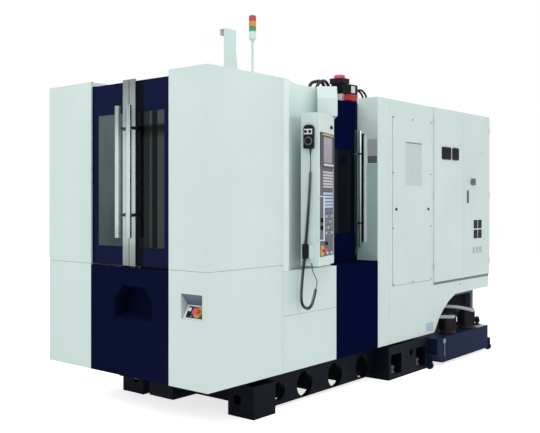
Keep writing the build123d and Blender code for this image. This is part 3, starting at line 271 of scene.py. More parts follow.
label_head = plastic("label_head", (0.14, 0.23, 0.20), rough=0.4, bump=0.04)
pump_black = cast("pump_black", (0.010, 0.010, 0.012), rough=0.4)
painted_shade_green = paint("painted_shade_green", (0.42, 0.58, 0.54), rough=0.25, spread=0.06)
seam_and_shadow_grey = paint("seam_and_shadow_grey", (0.20, 0.26, 0.26), rough=0.6, gloss=0.05)
latch_grey = metal("latch_grey", (0.16, 0.17, 0.19), 0.35, (6, 6, 0.4))
dark_steel = metal("dark_steel", (0.09, 0.10, 0.11), 0.35, (3, 3, 3), grain=150)
dark_strip = metal("dark_strip", (0.10, 0.15, 0.16), 0.3, (9, 9, 0.15))
bare_plate = paint("bare_plate", (0.40, 0.46, 0.46), rough=0.4, spread=0.1)
foot_plate = paint("foot_plate", (0.12, 0.14, 0.16), rough=0.4, spread=0.1)
plate_blue = paint("plate_blue", (0.36, 0.50, 0.60), rough=0.4)
pipe_grey = paint("pipe_grey", (0.34, 0.38, 0.40), rough=0.4, spread=0.08)
rust_red = cast("rust_red", (0.10, 0.030, 0.022), rough=0.5)


def pane(name):
    """Smooth glass in front of an unlit room, its colour still to be given."""
    m = Nodes(name).set(Specular_IOR_Level=0.04, Coat_Weight=0.03, Coat_Roughness=0.02)
    m.rough(m.span(m.noise(3, 4, (1, 1, 0.4)), 0.03, 0.07))
    return m


def glass(name, colour, dark, scale=2.2, fade=0.0):
    """A pane with clouds of a reflection in it, darker towards its foot by fade."""
    m = pane(name)
    clouds = m.noise(scale, 3, (1, 1, 0.55), 0.45)
    lift = m.span(m.axes()[2], -fade, fade, 1.2, 2.2)
    m.colour(m.ramp(m.total(clouds, lift), 0.3, 0.72, dark, colour))
    return m.material


window_glass = glass("window_glass", (0.030, 0.036, 0.036), (0.006, 0.007, 0.008), 4.5)
grey_glass = glass("grey_glass", (0.120, 0.168, 0.165), (0.045, 0.066, 0.066), 1.6, 0.10)
black_glass = glass("black_glass", (0.0035, 0.0045, 0.010), (0.002, 0.0025, 0.005))


def glass_with_painted_light_bands():
    """The right front pane: upright bands of painted light and shade, crossed by a dark painted band near its
    head.
    """
    m = pane("glass_with_painted_light_bands")
    bands = [(0, (0.003, 0.003, 0.003))] + tinted(
        ((0.25, 0.003), (0.27, 0.016), (0.42, 0.014), (0.44, 0.004), (0.46, 0.044), (0.52, 0.036),
         (0.55, 0.005), (0.69, 0.005), (0.72, 0.048), (1, 0.040)), (0.85, 1.15, 1.15))
    rows = tinted(((0, 0.85), (0.12, 1), (0.76, 1), (0.83, 0.15), (0.86, 0.15), (0.88, 1.3), (1, 1.4)),
                  (1, 1, 1))
    across, _, height = m.axes()
    both = m.node("ShaderNodeMix", data_type="RGBA", blend_type="MULTIPLY")
    both.inputs["Factor"].default_value = 1.0
    m.link(m.stops(m.span(across, 0, 1, 0.06, 0.38), bands), both.inputs[6])
    m.link(m.stops(m.span(height, 0, 1, 1.28, 2.22), rows), both.inputs[7])
    m.colour(both.outputs[2])
    return m.material


def lens(name, colour):
    """Moulded translucent plastic."""
    m = Nodes(name).set(Transmission_Weight=0.25, IOR=1.45, Coat_Weight=0.3, Coat_Roughness=0.06)
    m.colour(m.ramp(m.noise(22, 3), 0.3, 0.7, scaled(colour, 0.85), scaled(colour, 1.1)))
    m.rough(m.span(m.noise(60, 2), 0.18, 0.28))
    m.bump(m.noise(300, 2), 0.05, 0.0004)
    return m.material


red_lens = lens("red_lens", (0.62, 0.05, 0.045))
amber_lens = lens("amber_lens", (0.85, 0.36, 0.04))
green_lens = lens("green_lens", (0.05, 0.38, 0.16))

slot_materials = {
    "pale_paint": pale_paint, "navy_paint": navy_paint, "bed_paint": bed_paint, "tank_paint": tank_paint,
    "iron": iron, "steel": steel_plain, "window": window_glass, "black_plastic": black_plastic,
    "grey_plastic": panel_grey, "red_plastic": red_plastic, "white_plastic": white_plastic,
    "lens": red_lens, "cord_rubber": cord_rubber, "frame_paint": frame_paint,
}
node_materials = {
    "left_door_post": post_steel_painted_reflection, "right_door_post": post_steel_painted_reflection, "left_door_window": grey_glass,
    "right_door_window": glass_with_painted_light_bands(), "side_door_window": black_glass, "front_apron": navy_low_painted_shade,
    "side_apron": navy_side_painted_shade, "side_door": navy_side_painted_shade, "pendant_bay": bay_paint_with_painted_light, "main_switch": switch_grey,
    "column_hoses": hose_rubber, "levelling_jacks": iron,
}
for part in frame["record"]["subparts"]:
    node = nodes[part["node"]]
    finish = node_materials.get(part["node"], slot_materials[part["material_slot"]])
    node.data.materials.clear()
    node.data.materials.append(finish)


# Mesh helpers

def finish_piece(name, mesh, material, body, bevel=0.0, segments=2):
    """A visible piece of the mesh, smooth but for its sharp edges, that rides on the body."""
    piece = bpy.data.objects.new(name, mesh)
    scene.collection.objects.link(piece)
    mesh.materials.append(material)
    mesh.shade_smooth()
    mesh.set_sharp_from_angle(angle=math.radians(35))
    if bevel:
        modifier = piece.modifiers.new("edges", "BEVEL")
        modifier.width = bevel
        modifier.segments = segments
        modifier.limit_method = "ANGLE"
        modifier.harden_normals = False
    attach(piece, body)
    return piece


def mesh_from(name, build):
    """A mesh of what build adds to an empty one."""
    mesh = bpy.data.meshes.new(name)
    bm = bmesh.new()
    build(bm)
    bmesh.ops.recalc_face_normals(bm, faces=bm.faces)
    bm.to_mesh(mesh)
    bm.free()
    return mesh


def loft(bm, rings):
    """Faces between rings of vertices, a ring of one vertex being a pole."""
    count = max(len(corners) for corners in rings)
    for lower, upper in zip(rings, rings[1:]):
        for index in range(count):
            follow = (index + 1) % count
            quad = [lower[index % len(lower)], lower[follow % len(lower)],
                    upper[follow % len(upper)], upper[index % len(upper)]]
            distinct = list(dict.fromkeys(quad))
            if len(distinct) > 2:
                bm.faces.new(distinct)


def close(bm, rings):
    """A solid of rings of vertices, with a face at each end."""
    loft(bm, rings)
    bm.faces.new(rings[0][::-1])
    bm.faces.new(rings[-1])


def add_turned(bm, profile, place, count=32):
    """A solid of revolution about +Z from pairs of radius and height, closed at the axis or on itself."""
    rings = []
    for radius, height in profile:
        if radius < 1e-7:
            rings.append([bm.verts.new(place @ Vector((0, 0, height)))])
        else:
            rings.append([bm.verts.new(place @ Vector((radius * math.cos(a), radius * math.sin(a), height)))
                          for a in (index * math.tau / count for index in range(count))])
    loft(bm, rings)


def add_tube(bm, points, radius, sides):
    """A closed tube along points, its section carried along without twist."""
    points = [Vector(point) for point in points]
    tangent = (points[1] - points[0]).normalized()
    normal = tangent.orthogonal().normalized()
    rings = []
    for index, point in enumerate(points):
        before = points[max(index - 1, 0)]
        after = points[min(index + 1, len(points) - 1)]
        direction = (after - before).normalized()
        normal = (normal - direction * normal.dot(direction)).normalized()
        side = direction.cross(normal)
        rings.append([bm.verts.new(point + (normal * math.cos(a) + side * math.sin(a)) * radius)
                      for a in (step * math.tau / sides for step in range(sides))])
    close(bm, rings)


# Pendant frame: +X out of the control face, +Y along it, Z up

TURN = math.radians(18)
PENDANT = Matrix.Translation((RIGHT + 0.169, at(1004), 0)) @ Matrix.Rotation(TURN, 4, "Z")


def lead_point(w, v, z):
    """A point in the pendant's frame: w inwards, v out from its side, z up, in millimetres."""
    return PENDANT @ Vector((-w / 1000, -v / 1000, z / 1000))


# Cord of the hand-held pulse unit

lead_route = [(66, 14, 1933), (64.5, 15, 1870), (64, 16, 1800), (73, 17, 1600), (102, 18, 1225),
              (133, 17, 955), (139, 16, 830), (124, 16, 785), (92, 16, 765), (62, 16, 780), (45, 16, 825),
              (19, 16, 935), (12, 15.5, 965), (20, 14.5, 992), (38, 13, 1020), (53, 11.5, 1060),
              (57, 11, 1106)]
CURL_START, CURL_END = 1.790, 0.925     # heights of the curly stretch's two ends
WIRE = 0.0030                           # radius of the wire
CURL = 0.0095                           # radius of the curl, to the middle of the wire
LOOSE_PITCH, TIGHT_PITCH = 0.0165, 0.0083
TIGHT_FROM = 0.42                       # share of the curly stretch that its weight pulls open
SWELL = 0.02                            # length over which the curl widens at each end
STEP = 0.0006                           # between the points along the route


def route_points(name, points):
    """Points of a NURBS spline that has the route's points as its control points."""
    curve = bpy.data.curves.new(name, "CURVE")
    curve.dimensions = "3D"
    curve.resolution_u = 48
    spline = curve.splines.new("NURBS")
    spline.points.add(len(points) - 1)
    for point, place in zip(spline.points, points):
        point.co = (*place, 1)
    spline.order_u = 3
    spline.use_endpoint_u = True
    holder = bpy.data.objects.new(name, curve)
    mesh = bpy.data.meshes.new_from_object(holder)
    places = [vertex.co.copy() for vertex in mesh.vertices]
    bpy.data.objects.remove(holder)
    bpy.data.curves.remove(curve)
    bpy.data.meshes.remove(mesh)
    return places


def spaced(points, step):
    """Points along a polyline at even steps, with the direction there and the length so far."""
    result = []
    travelled = 0.0
    wanted = 0.0
    for start, end in zip(points, points[1:]):
        length = (end - start).length
        while length and wanted <= travelled + length:
            result.append((start.lerp(end, (wanted - travelled) / length), (end - start).normalized(),
                           wanted))
            wanted += step
        travelled += length
    result.append((points[-1], (points[-1] - points[-2]).normalized(), travelled))
    return result


def curly_lead():
    """Points along the wire: straight at both ends of the route, wound round it between them."""
    fine = spaced(route_points("lead_route", [lead_point(*point) for point in lead_route]), STEP)
    heights = [place.z for place, _, _ in fine]
    first = next(index for index, z in enumerate(heights) if z < CURL_START)
    lowest = heights.index(min(heights))
    last = next(index for index in range(lowest, len(fine)) if heights[index] > CURL_END)
    side = Vector((0, 0, 1)).cross(fine[0][1])
    side = side.normalized() if side.length > 0.01 else Vector((1, 0, 0))
    points = []
    angle = 0.0
    lengths = [travelled for _, _, travelled in fine]
    total = lengths[last] - lengths[first]
    for index, (place, direction, travelled) in enumerate(fine):
        side = (side - direction * side.dot(direction)).normalized()
        if index < first or index > last:
            if index % 10 == 0 or index == len(fine) - 1:
                points.append(place.copy())
            continue
        share = (travelled - lengths[first]) / total
        pitch = LOOSE_PITCH + (TIGHT_PITCH - LOOSE_PITCH) * min(1.0, share / TIGHT_FROM)
        swell = min(1.0, (travelled - lengths[first]) / SWELL, (lengths[last] - travelled) / SWELL)
        angle += math.tau * STEP / pitch
        other = direction.cross(side)
        points.append(place + (side * math.cos(angle) + other * math.sin(angle)) * CURL * swell)
    return points


lead_points = curly_lead()
lead_mesh = mesh_from("pulse_cord", lambda bm: add_tube(bm, lead_points, WIRE, 8))
pulse_cord = finish_piece("pulse_cord", lead_mesh, cord_rubber, "pendant")
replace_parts(pulse_cord, "pulse_lead", "pulse_curl")


# Places for details, in millimetres: a surface's own two directions, then outwards

MM = Matrix.Diagonal((0.001, 0.001, 0.001, 1))


def side_face(x):
    """On a surface that faces the operator's side: depth, height."""
    return Matrix(((0, 0, 0.001, x / 1000), (0.001, 0, 0, FRONT), (0, 0.001, 0, 0), (0, 0, 0, 1)))


def front_face(depth):
    """On a surface that faces the front: across, height."""
    return Matrix(((0.001, 0, 0, 0), (0, 0, -0.001, at(depth)), (0, 0.001, 0, 0), (0, 0, 0, 1)))


UPWARDS = Matrix.Translation((0, FRONT, 0)) @ MM        # across, depth
CONTROL_FACE = PENDANT @ MM @ Matrix(((0, 0, 1, 0), (1, 0, 0, 0), (0, 1, 0, 0), (0, 0, 0, 1)))
PENDANT_SIDE = PENDANT @ MM @ Matrix(((-1, 0, 0, 0), (0, 0, -1, 0), (0, 1, 0, 0), (0, 0, 0, 1)))
PENDANT_UPWARDS = PENDANT @ MM @ Matrix.Rotation(math.pi, 4, "Z")
OPERATOR_DOOR = side_face(580)
BAY_WALL = front_face(2087)                             # the wall that closes the operator's bay at the rear
SIDE_COVER = side_face(790)
ACCESS = side_face(792)
CABINET_DOORS = side_face(800)


def rounded(low, high, radius):
    """Outline of a rectangle with round corners."""
    steps = 5
    (x0, y0), (x1, y1) = low, high
    if not radius:
        return [(x0, y0), (x1, y0), (x1, y1), (x0, y1)]
    points = []
    for x, y, start in ((x1 - radius, y1 - radius, 0), (x0 + radius, y1 - radius, 90),
                        (x0 + radius, y0 + radius, 180), (x1 - radius, y0 + radius, 270)):
        for step in range(steps + 1):
            angle = math.radians(start + 90 * step / steps)
            points.append((x + radius * math.cos(angle), y + radius * math.sin(angle)))
    return points


def add_prism(bm, outline, low, high, place):
    """A plate of the given outline between two heights above the place's surface."""
    close(bm, [[bm.verts.new(place @ Vector((x, y, height))) for x, y in outline] for height in (low, high)])


def plates(name, place, corners, material, body, low, high, radius=0.0, bevel=0.0):
    """One piece of several plates, each given by its lowest and highest corner on the surface."""
    def build(bm):
        for first, last in corners:
            add_prism(bm, rounded(first, last, radius), low, high, place)
    return finish_piece(name, mesh_from(name, build), material, body, bevel / 1000, segments=1)


def turned(name, place, spots, profile, material, body, count=32):
    """One piece of several turned parts that stand on the surface at the given spots."""
    def build(bm):
        for x, y in spots:
            add_turned(bm, profile, place @ Matrix.Translation((x, y, 0)), count)
    return finish_piece(name, mesh_from(name, build), material, body)


def button(radius, low, high, edge=1.0):
    """Profile of a round button with a soft edge."""
    return [(0, low), (radius, low), (radius, high - edge), (radius - 0.3 * edge, high - 0.3 * edge),
            (radius - edge, high), (0, high)]


def ring(radius, inner, low, high):
    """Profile of an open ring."""
    return [(inner, low), (radius, low), (radius, high - 0.4), (radius - 0.4, high), (inner, high),
            (inner, low)]


def socket_screw(radius, tall):
    """Profile of a screw's head with its socket."""
    return [(0, 0), (radius, 0), (radius, tall * 0.6), (radius * 0.8, tall), (radius * 0.5, tall),
            (radius * 0.45, tall * 0.4), (0, tall * 0.4)]


# Control face of the pendant

def keys(rows, columns, left, pitch, wide, tall):
    """Corners of rows of keys, each row given by its height."""
    return [((left + column * pitch, z - tall / 2), (left + column * pitch + wide, z + tall / 2))
            for z in rows for column in range(columns)]


def screen_glass():
    """A switched-off display: mauve-grey, with a painted reflection that makes it slightly paler at the top.
    """
    m = Nodes("screen_glass").set(Specular_IOR_Level=0.2, Coat_Weight=0.15, Coat_Roughness=0.08)
    height = m.span(m.axes()[2], 0, 1, 1.85, 2.045)
    m.colour(m.ramp(height, 0.0, 1.0, (0.24, 0.19, 0.25), (0.32, 0.27, 0.33)))
    m.rough(m.span(m.noise(30, 3), 0.18, 0.26))
    return m.material


def control_face():
    """The panel with its openings, screen, keys and buttons."""
    face = []

    def flat(name, corners, material, low, high, radius=0.0, bevel=0.0):
        face.append(plates(name, CONTROL_FACE, corners, material, "pendant", low, high,
                           radius, bevel))

    def round_ones(name, spots, profile, material):
        face.append(turned(name, CONTROL_FACE, spots, profile, material, "pendant"))

    flat("panel_face", [((11.5, 1147.5), (358.5, 1181.2)), ((11.5, 1181.2), (56.2, 1204.8)),
                        ((79.8, 1181.2), (358.5, 1204.8)), ((11.5, 1204.8), (358.5, 2075.5))], panel_grey,
         -8, 0)
    flat("panel_bezel", [((15, 1850), (84, 2071.5)), ((322, 1850), (355, 2071.5)),
                         ((84, 2045), (322, 2071.5)), ((15, 1815), (355, 1850))],
         bezel_grey, 0, 6)
    flat("panel_screen", [((84, 1850), (322, 2045))], screen_glass(), 0, 1.6)
    flat("panel_stripe", [((62, 2056), (330, 2066))], yellow_plastic, 6, 6.6)
    flat("panel_edge", [((326, 1149), (357, 1812))], edge_grey, 0, 1.2)
    flat("panel_band", [((84, 1481), (322, 1499))], band_blue, 0, 0.9)
    flat("key_fields", [((78, 1660), (324, 1791)), ((78, 1508), (324, 1632))], key_field,
         0, 0.7)
    flat("soft_keys", keys((1835,), 12, 91, 20, 15, 15), key_white, 6, 8.2, 1.5, 0.5)
    flat("letter_keys", keys((1779, 1757, 1735, 1713, 1692, 1671), 10, 82, 24, 19, 15), key_cream,
         0.6, 3.2, 1.5, 0.5)
    flat("mode_keys", keys((1619, 1594, 1569, 1544, 1520), 8, 84, 30, 24, 17), key_blue,
         0.6, 3.2, 1.5, 0.5)
    spots = [(165 + column * 46, 1447 - row * 42) for row in range(4) for column in range(4)]
    round_ones("round_collars", spots, ring(11.5, 8.7, 0, 2.2), key_white)
    round_ones("round_buttons", [spot for index, spot in enumerate(spots) if index % 3], button(8.4, 0, 4),
               black_plastic)
    round_ones("pale_buttons", spots[::3], button(8.4, 0, 4), key_blue)
    round_ones("round_switch", [(160, 1243)], button(14, 0, 14, 2), black_plastic)
    round_ones("start_buttons", [(190, 1168), (290, 1168)], button(10, 0, 7, 1.5), white_plastic)
    round_ones("green_button", [(230, 1168)], button(10, 0, 7, 1.5), green_plastic)
    round_ones("stop_collar", [(68, 1193)], ring(41, 11.4, 0, 2.6), yellow_plastic)
    for piece in face:
        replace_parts(piece, "pendant_panel")


control_face()
for index, height in enumerate((1421, 1364)):
    plates(f"knob_{index + 1}_pointer", CONTROL_FACE, [((47.2, height - 1), (50.8, height + 15.5))],
           white_plastic, f"knob_{index + 1}", 19.8, 22.6)
turned("pendant_lock", CONTROL_FACE, [(280, 2127)], button(13.5, 0, 15, 2), black_plastic, "pendant")


# Details of the hand-held pulse unit and its cord's clip

plates("pulse_label", PENDANT_SIDE, [((48, 2055), (112, 2095))], white_plastic, "pendant",
       27.6, 28.6, radius=3)
turned("pulse_switches", PENDANT_SIDE, [(65, 2075), (98, 2075)], button(10.5, 28.4, 39, 1.5), black_plastic,
       "pendant")
turned("pulse_dial", PENDANT_SIDE, [(78, 2006)], ring(30, 24.2, 27.8, 28.8), edge_grey, "pendant",
       40)
turned("pulse_relief", PENDANT_UPWARDS, [lead_route[0][:2]],
       [(0, 1906), (4.4, 1906), (5.6, 1924), (8.5, 1944), (8.5, 1951), (0, 1951)],
       cord_rubber, "pendant")


def cord_clip(bm):
    """Three thin bars round the lead."""
    for low, high in (((85, 0), (88, 32)), ((122, 0), (125, 32)), ((85, 29), (125, 32))):
        add_prism(bm, rounded(low, high, 0), 1138, 1246, PENDANT_UPWARDS)


finish_piece("cord_clip", mesh_from("cord_clip", cord_clip), black_plastic, "pendant",
             0.0006)


# Signal tower

def tower():
    """Round foot, thin pole, cup and three ribbed lenses, just behind the front cover's roof edge."""
    spots = [(312, 1002)]
    top, step, radius, ribs = 3018.0, 40.0, 29.0, 8
    for index, (colour, material) in enumerate((("green", green_lens), ("amber", amber_lens),
                                                ("red", red_lens))):
        foot = top - 3 * step + index * step + 0.3
        profile = [(0, foot), (radius - 1.2, foot)]
        for rib in range(ribs):
            z = foot + 0.6 + rib * (step - 1.8) / ribs
            profile += [(radius - 1.2, z), (radius, z + 1.6), (radius, z + 2.8)]
        profile += [(radius - 1.2, foot + step - 0.8), (0, foot + step - 0.8)]
        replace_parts(turned(f"lens_{colour}", UPWARDS, spots, profile, material, "root", 48),
                    "tower_lenses")
    cap = [(0, top), (radius - 2, top), (radius - 2.5, top + 3), (radius - 9, top + 7), (0, top + 8)]
    turned("tower_cap", UPWARDS, spots, cap, dark_red, "root", 48)
    cup = top - 3 * step
    roof = 2460
    pole = [(0, roof), (45, roof), (45, roof + 10), (43, roof + 12), (12, roof + 12), (9, roof + 14),
            (9, cup - 90), (10, cup - 88), (22, cup - 62), (28, cup - 60), (28, cup), (0, cup)]
    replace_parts(turned("tower_mast", UPWARDS, spots, pole, pale_paint, "root", 40),
                "tower_pole")


tower()


# Front doors

for x, body in ((-60, "left_door"), (60, "right_door")):
    turned(f"{body}_sleeves", front_face(0), [(x, 1463), (x, 2083)], ring(13.4, 12.2, -9, 26),
           sleeve_black, body)
# Painted shade: a dark band down the right door beside its steel strip.
plates("right_door_painted_shade", front_face(20), [((69, 1104), (140, 1233)), ((69, 2198), (140, 2418))], painted_shadow_black,
       "right_door", 0, 0.8, radius=1)
turned("cover_screw", front_face(0), [(-411, 2449)], socket_screw(6, 3.5), dark_steel, "root")


# Operator door and the wall behind it

HANDLE = (626, 2065)                    # across and depth of the handle's bar
HANDLE_FOOT, HANDLE_HEAD = 1163, 2171


def side_handle(bm):
    """A bar with thinner ends, and the two stand-offs that hold it off the door."""
    for low, high, radius in ((HANDLE_FOOT, HANDLE_FOOT + 3, 12.5), (HANDLE_FOOT + 3, HANDLE_HEAD - 3, 14),
                              (HANDLE_HEAD - 3, HANDLE_HEAD, 12.5)):
        add_turned(bm, [(0, low), (radius, low), (radius, high), (0, high)],
                   UPWARDS @ Matrix.Translation((*HANDLE, 0)))
    for z in (1370, 1970):
        add_turned(bm, [(0, 5.5), (9, 5.5), (9, 34), (0, 34)],
                   OPERATOR_DOOR @ Matrix.Translation((HANDLE[1], z, 0)), 24)


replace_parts(finish_piece("side_handle", mesh_from("side_handle", side_handle), steel_upright_painted_reflection, "operator_door"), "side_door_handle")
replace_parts(plates("side_door_strip", OPERATOR_DOOR, [((2044, 1092), (2084, 2180))], dark_strip,
                   "operator_door", 0, 6, bevel=0.4), "side_door_handle")
plates("side_door_strip_head", OPERATOR_DOOR, [((2044, 2180), (2084, 2412))], navy_paint, "operator_door",
       0, 6, bevel=0.4)
for name, z in (("side_handle_rings", 1363), ("side_handle_rings_2", 1962)):
    turned(name, UPWARDS, [HANDLE], ring(14.9, 14.05, z, z + 15), gloss_black, "operator_door")
plates("side_door_pane", OPERATOR_DOOR, [((1495, 1286), (2041, 2000))], black_glass, "operator_door",
       0.1, 1.2, radius=6, bevel=0.3)
# Beside the handle on the bay's rear wall: a dark strip of the handle's painted shadow, a pale strip of its
# painted reflection, and green sheets of painted shade over the wall beyond.
plates("bay_painted_shadow", BAY_WALL, [((632, 1207), (654, 2145))], painted_shadow_black, "root", 0, 5,
       bevel=0.8)
plates("bay_painted_reflection", BAY_WALL, [((654, 1207), (674, 2130))], white_plastic, "root", 0, 9,
       bevel=1.2)
plates("bay_plate", BAY_WALL, [((689, 1950), (783, 2095))], bare_plate, "root", 0, 1.2, radius=2)
plates("bay_plate_foot", BAY_WALL, [((689, 1888), (783, 1949))], foot_plate, "root", 0, 1.2,
       radius=2)
plates("bay_painted_shade", BAY_WALL, [((676, 1054), (788, 1880)), ((584, 1054), (675, 1205))], painted_shade_green, "root",
       0, 0.7, bevel=0.2)


# Cabinet doors

def gauge(name, start, end):
    """A dark meter window with its bezel, between two depths."""
    low, high = 1965, 2087
    plates(f"{name}_bezel", CABINET_DOORS, [((start - 0.6, low - 0.6), (end + 0.6, high + 0.6))], gloss_black,
           "cabinet_door_1", 0.1, 9, radius=18, bevel=1.2)
    plates(f"{name}_glass", CABINET_DOORS, [((start + 10, low + 10), (end - 10, high - 10))], black_glass,
           "cabinet_door_1", 8.9, 9.8, radius=9, bevel=0.4)


def vents(bm):
    """Four fields of six louvres."""
    for start in (3942, 4044):
        for low in (1177, 1279):
            add_prism(bm, rounded((start - 3, low - 5), (start + 85, low + 84), 3), 0, 1.4, CABINET_DOORS)
            for slat in range(6):
                z = low - 3 + slat * 14.5
                add_prism(bm, rounded((start + 2, z), (start + 80, z + 8), 1), 1.3, 3.4, CABINET_DOORS)


def cabinet_door_shell(bm):
    """The front cabinet door with its folded edges and three hinge barrels."""
    place = side_face(775)
    (d0, z0), (d1, z1) = (3084.5, 785), (3712.5, 2455)
    add_prism(bm, rounded((d0, z0), (d1, z1), 2), 22, 25, place)
    for low, high in (((d0, z0), (d0 + 20, z1)), ((d1 - 20, z0), (d1, z1)),
                      ((d0 + 20, z0), (d1 - 20, z0 + 20)), ((d0 + 20, z1 - 20), (d1 - 20, z1))):
        add_prism(bm, rounded(low, high, 0), 0, 22, place)
    for z in (930, 1620, 2310):
        add_turned(bm, [(0, z - 35), (4, z - 35), (4, z + 35), (0, z + 35)],
                   UPWARDS @ Matrix.Translation((802, 3084, 0)), 20)


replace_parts(finish_piece("cabinet_door_shell", mesh_from("cabinet_door_shell", cabinet_door_shell),
                         pale_paint, "cabinet_door_1"), "front_cabinet_door")
gauge("left_gauge", 3235, 3420)
gauge("right_gauge", 3452, 3588)
finish_piece("vent_louvres", mesh_from("vent_louvres", vents), black_plastic, "cabinet_door_2",
             0.0004)
plates("small_plates", CABINET_DOORS,
       [((3918, 1017), (3967, 1085)), ((3994, 1017), (4046, 1085)), ((4074, 1017), (4127, 1085))],
       bare_plate, "cabinet_door_2", 0, 0.9, radius=2)
turned("key_lock", CABINET_DOORS, [(4145, 2060)],
       [(0, 0), (21, 0), (21, 2), (18, 4), (15, 4), (15, 9), (13, 11), (4, 11), (3, 8), (0, 8)],
       zinc, "cabinet_door_2")
turned("switch_plate", CABINET_DOORS, [(3903, 1757)], button(44, 0, 0.9, 0.3), zinc, "cabinet_door_2",
       48)
plates("latch_cover", CABINET_DOORS, [((3783.5, 1537.5), (3808.5, 1670.5))], latch_grey,
       "cabinet_door_2", 0.2, 9.8, radius=11, bevel=0.6)
plates("latch_paddle", CABINET_DOORS, [((3789, 1550), (3803, 1652))], dark_steel, "cabinet_door_2",
       9.6, 11.6, radius=6, bevel=0.5)


# Operator side: access plate and small plates

turned("access_screws", ACCESS,
       [(2345, 2303), (2685, 2303), (3028, 2303), (2345, 1812), (3028, 1812),
        (2345, 1321), (3028, 1321), (2345, 824), (2685, 824), (3028, 824)],
       socket_screw(6.5, 3.4), dark_steel, "root", 16)
turned("access_knobs", ACCESS, [(2388, 1488), (2974, 1486)], button(11, 0, 11, 2), black_plastic, "root")
plates("access_label", ACCESS, [((2556, 1703), (2853, 2097))], label_grey, "root", 0, 0.5,
       bevel=0.2)
plates("access_label_head", ACCESS, [((2558, 2084), (2851, 2096))], label_head, "root",
       0.4, 0.8)
plates("access_seam", SIDE_COVER, [((2329, 809), (2333.5, 2319)), ((3040.5, 809), (3043.5, 2319)),
                                   ((2333.5, 810), (3040.5, 813.5))],
       seam_and_shadow_grey, "root", 0, 0.4)
# Painted shadow under the cabinet doors: a dark strip and a grey fade below it.
plates("door_painted_shadow", SIDE_COVER, [((3084, 771), (4322, 784))], slate_and_shade, "root", 0, 0.6)
plates("door_painted_shadow_fade", SIDE_COVER, [((3084, 758), (4322, 771))], seam_and_shadow_grey, "root", 0, 0.5)
turned("skirt_screw", SIDE_COVER, [(3649, 724)], socket_screw(7, 3.6), dark_steel, "root", 16)
plates("skirt_plate", SIDE_COVER, [((2936, 331), (3075, 413))], plate_blue, "root", 0, 1.0,
       radius=1.5, bevel=0.3)
plates("skirt_plate_edge", SIDE_COVER, [((2936, 325), (3075, 331)), ((2931, 325), (2936, 413))],
       white_plastic, "root", 0, 1.4)


# Recess with the buttons on the front

def add_wedge(bm, outline, x0, x1):
    """A solid along X with the given outline of depths and heights."""
    close(bm, [[bm.verts.new((x / 1000, at(depth), z / 1000)) for depth, z in outline] for x in (x0, x1)])


CONSOLE_START, CONSOLE_FOOT = 10, 778        # depth and height of the console's front edge
CONSOLE_RUN, CONSOLE_RISE = 50, 85
CONSOLE_BACK, CONSOLE_TOP = CONSOLE_START + CONSOLE_RUN, CONSOLE_FOOT + CONSOLE_RISE
RECESS_BACK = 99
# Across and up the button plate
SLOPE = (UPWARDS @ Matrix.Translation((643, CONSOLE_START + CONSOLE_RUN / 2, CONSOLE_FOOT + CONSOLE_RISE / 2))
         @ Matrix.Rotation(math.atan2(CONSOLE_RISE, CONSOLE_RUN), 4, "X"))
STOP = (28, 0)

# Slate lining of the recess: partly its own dark colour, partly painted shade.
finish_piece("recess_lining", mesh_from("recess_lining", lambda bm: add_wedge(
    bm, [(1, 942.5), (RECESS_BACK, 942.5), (RECESS_BACK, CONSOLE_TOP), (CONSOLE_BACK + 8, CONSOLE_TOP)],
    543.5, 742.5)), slate_and_shade, "root")


def mushroom(shaft, cap, foot):
    """Profile of an emergency stop's head, from its shaft to its crown."""
    crown = [(cap * math.cos(math.radians(a)), foot + 20 + 14 * math.sin(math.radians(a)))
             for a in range(0, 91, 10)]
    return [(0, foot), (shaft, foot), (shaft, foot + 10), (cap * 0.85, foot + 14), *crown[:-1],
            (0, foot + 34)]


def key_frame(bm):
    """Four bars round the square key."""
    for low, high in (((-63, -3), (-60, 31)), ((-32, -3), (-29, 31)), ((-60, -3), (-32, 0)),
                      ((-60, 28), (-32, 31))):
        add_prism(bm, rounded(low, high, 0), 0.1, 4.6, SLOPE)


console = [
    finish_piece("station_console", mesh_from("station_console", lambda bm: add_wedge(
        bm, [(CONSOLE_START, 775), (RECESS_BACK, 775), (RECESS_BACK, CONSOLE_TOP),
             (CONSOLE_BACK, CONSOLE_TOP), (CONSOLE_START, CONSOLE_FOOT)], 549, 739)),
                 white_plastic, "root", 0.001),
    plates("slope_plate", SLOPE, [((-72, -43), (88, 41))], panel_dark, "root", 0.05, 0.8,
           radius=3),
    turned("slope_collar", SLOPE, [STOP],
           [(12.5, 0.1), (38, 0.1), (38, 2.4), (37.6, 2.8), (18, 2.8), (17, 9), (12.5, 9), (12.5, 0.1)],
           yellow_plastic, "root", 48),
    finish_piece("slope_key_frame", mesh_from("slope_key_frame", key_frame), black_plastic, "root"),
    turned("slope_lamp", SLOPE, [(-20, -34)], button(6.3, 0.1, 7.2, 1.2), green_plastic, "root"),
    turned("slope_selector", SLOPE, [(-50, -22)], button(12.5, 0.1, 11, 1.5), black_plastic, "root"),
]
for piece in console:
    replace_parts(piece, "station_panel")
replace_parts(turned("slope_stop", SLOPE, [STOP], mushroom(8.5, 27, 7.5), red_plastic, "stop_2",
                   48), "station_stop")
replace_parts(plates("slope_key", SLOPE, [((-58, 2), (-34, 26))], white_plastic, "key_1",
                   3.9, 13, radius=3, bevel=1.0), "station_key")


# Motors on the column

MOTOR = (0, 2660)


